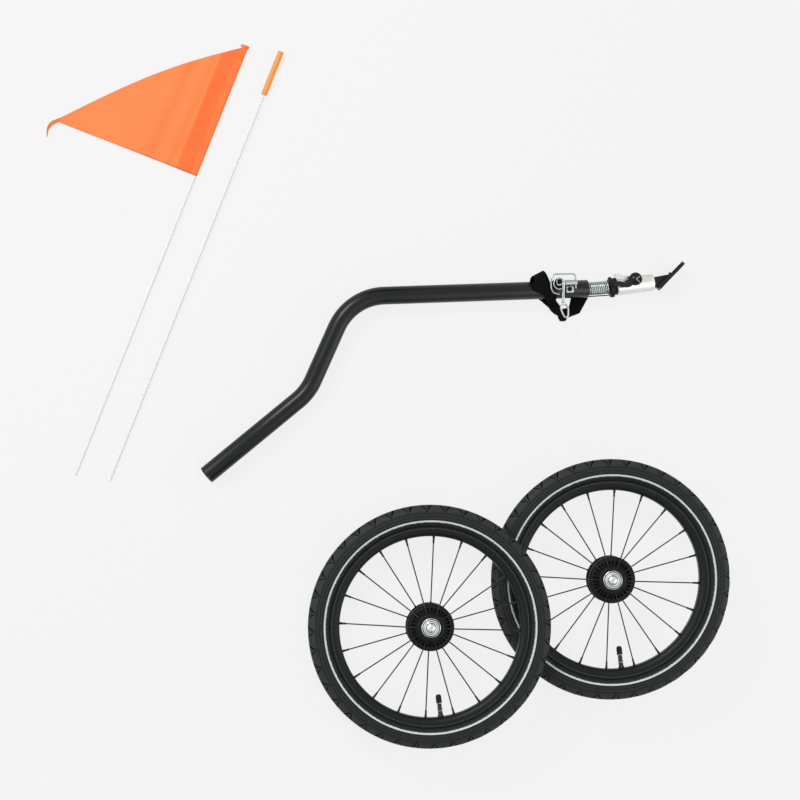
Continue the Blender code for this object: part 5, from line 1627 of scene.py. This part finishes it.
class KIT_OT_pennant(bpy.types.Operator):
    """Pennant of orange nylon: a stitched hem round the rod, soft folds and a curled tip"""

    bl_idname = "kit.pennant"
    bl_label = "Pennant"

    def execute(self, context):
        place, length = rod_place(UPPER_ROD)
        top = length - 0.0005
        hem = settings("flag_settings").hem
        outline = []
        for step in range(11):
            reach = hem * (1 - step / 10) + 0.004 * step / 10
            outline.append((reach, -0.0025 if reach < 0.006 else -0.0024))
        for step in range(1, 13):
            outline.append(tuple(polar(HEM_RADIUS, math.radians(-90.0 - 15.0 * step)).to_2d()))
        outline += [(hem * step / 12, self.over(hem * step / 12)) for step in range(1, 13)]
        fold = len(outline)
        for step in range(1, 61):
            reach = hem + (FLAG_REACH - hem) * step / 60
            outline.append((reach, self.over(reach)))
        lines = []
        for reach, height in outline:
            high = min(self.upper_edge(max(0.0, reach)), 0.0)
            line = []
            for row in range(CLOTH_ROWS + 1):
                along = -HOIST_LENGTH + (high + HOIST_LENGTH) * row / CLOTH_ROWS
                line.append(self.laid(reach, along, height + self.fold(reach, along, hem), top))
            lines.append(line)
        last = outline[-1][1] + self.fold(FLAG_REACH, -HOIST_LENGTH, hem)
        curl = [
            ((FLAG_REACH, 0.0, last), (FLAG_REACH, TIP_WIDTH, last)),
            ((0.2335, -0.0078, 0.0045), (0.2385, -0.0040, 0.0070)),
            ((0.2372, -0.0178, 0.0085), (0.2410, -0.0160, 0.0112)),
            ((0.2352, -0.0295, 0.0128), (0.2368, -0.0290, 0.0150)),
        ]
        lows, highs = (spline([pair[side] for pair in curl], 6)[1:] for side in (0, 1))
        for low, high in zip(lows, highs):
            edge = [low.lerp(high, row / CLOTH_ROWS) for row in range(CLOTH_ROWS + 1)]
            lines.append([self.laid(point.x, point.y - HOIST_LENGTH, point.z, top) for point in edge])
        reach = reaches([line[0] for line in lines])
        # The hem takes the deeper orange, partly a double layer and partly painted shade
        cloth = form("pennant_cloth", lines, [flag_cloth, hem_cloth], loop_points=False, sharp=60.0,
                     pick=lambda line, index: int(line < fold),
                     uv=lambda line, index: (reach[line], lines[line][index].z))
        area = sum(face.area for face in cloth.data.polygons)
        thick = cloth.modifiers.new("cloth", "SOLIDIFY")
        thick.thickness = 0.0004
        thick.offset = 0.0
        apply(cloth)
        cloth.data.shade_smooth()
        setting(cloth, "flag", "orange_cloth", "pennant")
        stitches = setting(self.stitches(hem, top), "flag", "orange_cloth")
        tab = setting(self.tab(top), "flag", "orange_cloth")
        # The points go where the flag lies, so that its box is its true one
        for piece in (cloth, stitches, tab):
            piece.data.transform(place)
        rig.sheet(cloth, flat=(round(reach[-1], 4), HOIST_LENGTH), held="laid", rests_on=["upper_rod_form"],
                 area=round(area, 5), with_pieces=[stitches, tab])
        return {"FINISHED"}

    @staticmethod
    def laid(reach, along, height, top):
        """A point of the cloth in the rod's frame, the flag turned a little from square."""
        across = reach * math.cos(HEM_TURN) + along * math.sin(HEM_TURN)
        down = along * math.cos(HEM_TURN) - reach * math.sin(HEM_TURN)
        return Vector((-height, across - along * math.sin(HEM_TURN), top + down))

    @staticmethod
    def upper_edge(reach):
        """Where the cloth ends on the side of the rod's top, which bulges a little."""
        share = reach / FLAG_REACH
        straight = TIP_WIDTH - HOIST_LENGTH + (HOIST_LENGTH - TIP_WIDTH) * (1 - share)
        return straight + FLAG_BULGE * math.sin(math.pi * share)

    @staticmethod
    def over(reach):
        """Height of the upper layer: over the rod, then down on to the lower one, then level."""
        if reach < 0.0016:
            return math.sqrt(max(0.0, HEM_RADIUS * HEM_RADIUS - reach * reach))
        fall = min(1.0, (reach - 0.0016) / 0.0085)
        return 0.00199 + (-0.0016 - 0.00199) * fall * fall * (3 - 2 * fall)

    @staticmethod
    def fold(reach, along, hem):
        """Soft folds that run beside the hem and die out towards the tip."""
        free = min(1.0, max(0.0, (reach - hem) / 0.02))
        share = max(0.0, reach) / FLAG_REACH
        slant = reach * (1.0 + 0.9 * (along + HOIST_LENGTH))
        near = 0.0012 * math.sin(ROUND * slant / 0.041) * math.exp(-((reach - 0.055) / 0.045) ** 2)
        billow = 0.0026 * (1 - math.cos(2.4 * math.pi * share)) * share
        return free * (near + billow)

    def tab(self, top):
        """Folded end of the hem, sewn flat across the rod's tip."""
        steps = 24
        lines = []
        for step in range(steps + 1):
            reach = -0.0044 + 0.0135 * step / steps
            high = self.over(reach) + 0.0006
            low = -0.0028 if reach > 0.0 else -high
            ring = [
                (-0.0034, low + 0.0003), (-0.0030, low), (0.0, low), (0.0004, low + 0.0003),
                (0.0004, high - 0.0003), (0.0, high), (-0.0030, high), (-0.0034, high - 0.0003),
            ]
            lines.append([self.laid(reach, along, level, top) for along, level in ring])
        return form("pennant_tab", lines, [hem_cloth], caps=True,
                    uv=lambda line, index: (line * MM, index * MM))

    def stitches(self, hem, top):
        """Two rows of thread, the second one along the hem's edge."""
        pitch = settings("flag_settings").stitch
        made = []
        for reach in (hem - 0.0022, hem - 0.0060):
            level = self.over(reach) + 0.00028
            for index in range(int((self.upper_edge(reach) + HOIST_LENGTH - 0.006) / pitch)):
                along = -HOIST_LENGTH + 0.003 + index * pitch
                ends = [self.laid(reach, along + shift * pitch, level + rise, top)
                        for shift, rise in ((0.06, -0.0001), (0.25, 0.00005), (0.6, 0.00005), (0.8, -0.0001))]
                made.append(wire("stitch", ends, 0.00016, hem_cloth, sides=6))
        return merged("hem_stitches", made)


# Stage


class KIT_OT_stage(bpy.types.Operator):
    """Pale floor, soft studio light and the photograph's camera"""

    bl_idname = "kit.stage"
    bl_label = "Stage"

    def execute(self, context):
        self.square("floor", 14.0, self.paper())
        self.world(context)
        for name, place, width, power in (
            ("key", (-1.6, 2.2, 2.2), 1.1, 54.0),
            ("fill", (1.8, -1.4, 2.6), 2.4, 12.0),
            ("left", (-2.7, 0.2, 1.3), 1.5, 20.0),
            ("right", (2.7, -0.5, 1.2), 1.5, 14.0),
        ):
            lamp = bpy.data.lights.new(name, "AREA")
            lamp.size = width
            lamp.energy = power
            placed(name, lamp, self.facing(place))
        # Black cards outside the picture, which only shine in the metal and give it dark edges
        for name, place, width in (
            ("lens_card", (0.03, -0.33, 2.5), 0.42),
            ("rear_card", (0.2, 2.6, 0.9), 1.3),
            ("front_card", (0.1, -2.7, 0.9), 1.3),
        ):
            board = self.square(name, width / 2, look(black_felt), self.facing(place))
            board.visible_camera = False
            board.visible_diffuse = False
            board.visible_shadow = False
        lens = bpy.data.cameras.new("photo")
        lens.lens = 127.36
        lens.sensor_width = 36.0
        lens.clip_end = 60.0
        away = Vector((-math.sin(CAMERA_LEAN), 0.0, math.cos(CAMERA_LEAN)))
        right = Vector((math.cos(CAMERA_LEAN), 0.0, math.sin(CAMERA_LEAN)))
        turn = Matrix((right, Vector((0, 1, 0)), away)).transposed().to_4x4()
        eye = Matrix.Translation(CAMERA_TARGET + CAMERA_DISTANCE * away)
        context.scene.camera = placed("photo", lens, eye @ turn)
        context.scene.view_settings.view_transform = "Standard"
        return {"FINISHED"}

    @staticmethod
    def facing(place):
        return aim(place, 2 * Vector(place))

    @staticmethod
    def square(name, half, finish, place=None):
        """A flat square of the stage."""
        mesh = bpy.data.meshes.new(name)
        edges = [(-half, -half, 0), (half, -half, 0), (half, half, 0), (-half, half, 0)]
        mesh.from_pydata(edges, [], [(0, 1, 2, 3)])
        mesh.materials.append(finish)
        board = placed(name, mesh, place)
        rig.stage(board)
        return board

    def paper(self):
        """Matt studio paper: seen by the camera as even pale grey that keeps a soft shadow."""
        made = bpy.data.materials.new("matt studio paper")
        made.use_nodes = True
        tree = made.node_tree
        tree.nodes.clear()
        lit = add(tree, "BsdfDiffuse", {"Color": linear("f5f5f5")})
        even = add(tree, "Emission", {"Color": linear("f5f5f5"), "Strength": 1.0})
        place = add(tree, "TexCoord").outputs["Object"]
        reach = add(tree, "VectorMath", {0: place}, operation="LENGTH").outputs["Value"]
        even_part = add(tree, "MapRange", {"Value": reach, "From Min": 0.7, "From Max": 2.2, "To Min": 0.9})
        share = add(tree, "Math", {0: self.seen(tree), 1: even_part}, operation="MULTIPLY")
        mixed = add(tree, "MixShader", {0: share, 1: lit, 2: even})
        add(tree, "OutputMaterial", {"Surface": mixed})
        return made

    @staticmethod
    def seen(tree):
        """One for rays from the camera, glossy and transmitted ones."""
        path = add(tree, "LightPath").outputs
        either = add(tree, "Math", {0: path["Is Camera Ray"], 1: path["Is Glossy Ray"]}, operation="MAXIMUM")
        return add(tree, "Math", {0: either, 1: path["Is Transmission Ray"]}, operation="MAXIMUM")

    def world(self, context):
        """Even light from all round, and the pale background."""
        context.scene.world = bpy.data.worlds.new("studio")
        context.scene.world.use_nodes = True
        tree = context.scene.world.node_tree
        tree.nodes.clear()
        lit = add(tree, "Background", {"Color": linear("ffffff"), "Strength": 0.46})
        pale = add(tree, "Background", {"Color": linear("f5f5f5"), "Strength": 1.0})
        mixed = add(tree, "MixShader", {0: self.seen(tree), 1: lit, 2: pale})
        add(tree, "OutputWorld", {"Surface": mixed})


OPERATORS = (
    KIT_OT_stage,
    KIT_OT_tyres,
    KIT_OT_inner_tubes,
    KIT_OT_rims,
    KIT_OT_hubs,
    KIT_OT_axles,
    KIT_OT_tube,
    KIT_OT_spring,
    KIT_OT_hitch_head,
    KIT_OT_bracket,
    KIT_OT_clip_hardware,
    KIT_OT_strap,
    KIT_OT_flag_rods,
    KIT_OT_pennant,
)
GROUPS = {"wheel_settings": WheelSettings, "drawbar_settings": DrawbarSettings, "flag_settings": FlagSettings}


class KIT_PT_panel(bpy.types.Panel):
    bl_idname = "KIT_PT_panel"
    bl_label = "Trailer Bicycle Kit"
    bl_space_type = "VIEW_3D"
    bl_region_type = "UI"
    bl_category = "Trailer Kit"

    def draw(self, context):
        for name, group in GROUPS.items():
            box = self.layout.box()
            for prop in group.__annotations__:
                box.prop(getattr(context.scene, name), prop)
        for operator in OPERATORS:
            self.layout.operator(operator.bl_idname)


def register():
    """Register the settings, operators and panel."""
    for name, group in GROUPS.items():
        bpy.utils.register_class(group)
        setattr(bpy.types.Scene, name, bpy.props.PointerProperty(type=group))
    for kind in (*OPERATORS, KIT_PT_panel):
        bpy.utils.register_class(kind)


def unregister():
    """Take the panel, operators and settings away."""
    for kind in (KIT_PT_panel, *reversed(OPERATORS)):
        bpy.utils.unregister_class(kind)
    for name, group in GROUPS.items():
        delattr(bpy.types.Scene, name)
        bpy.utils.unregister_class(group)


def corners(box):
    """A box's two corners as plain lists."""
    return [[float(value) for value in corner] for corner in box]


def main():
    """Build every group of pieces in order and write the sizes."""
    register()
    for operator in OPERATORS:
        group, name = operator.bl_idname.split(".")
        getattr(getattr(bpy.ops, group), name)()
    with open("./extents.json", "w") as out:
        json.dump({"cad": corners(CAD_BOX), "visual": corners(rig.bounds())}, out)


if __name__ == "__main__":
    main()
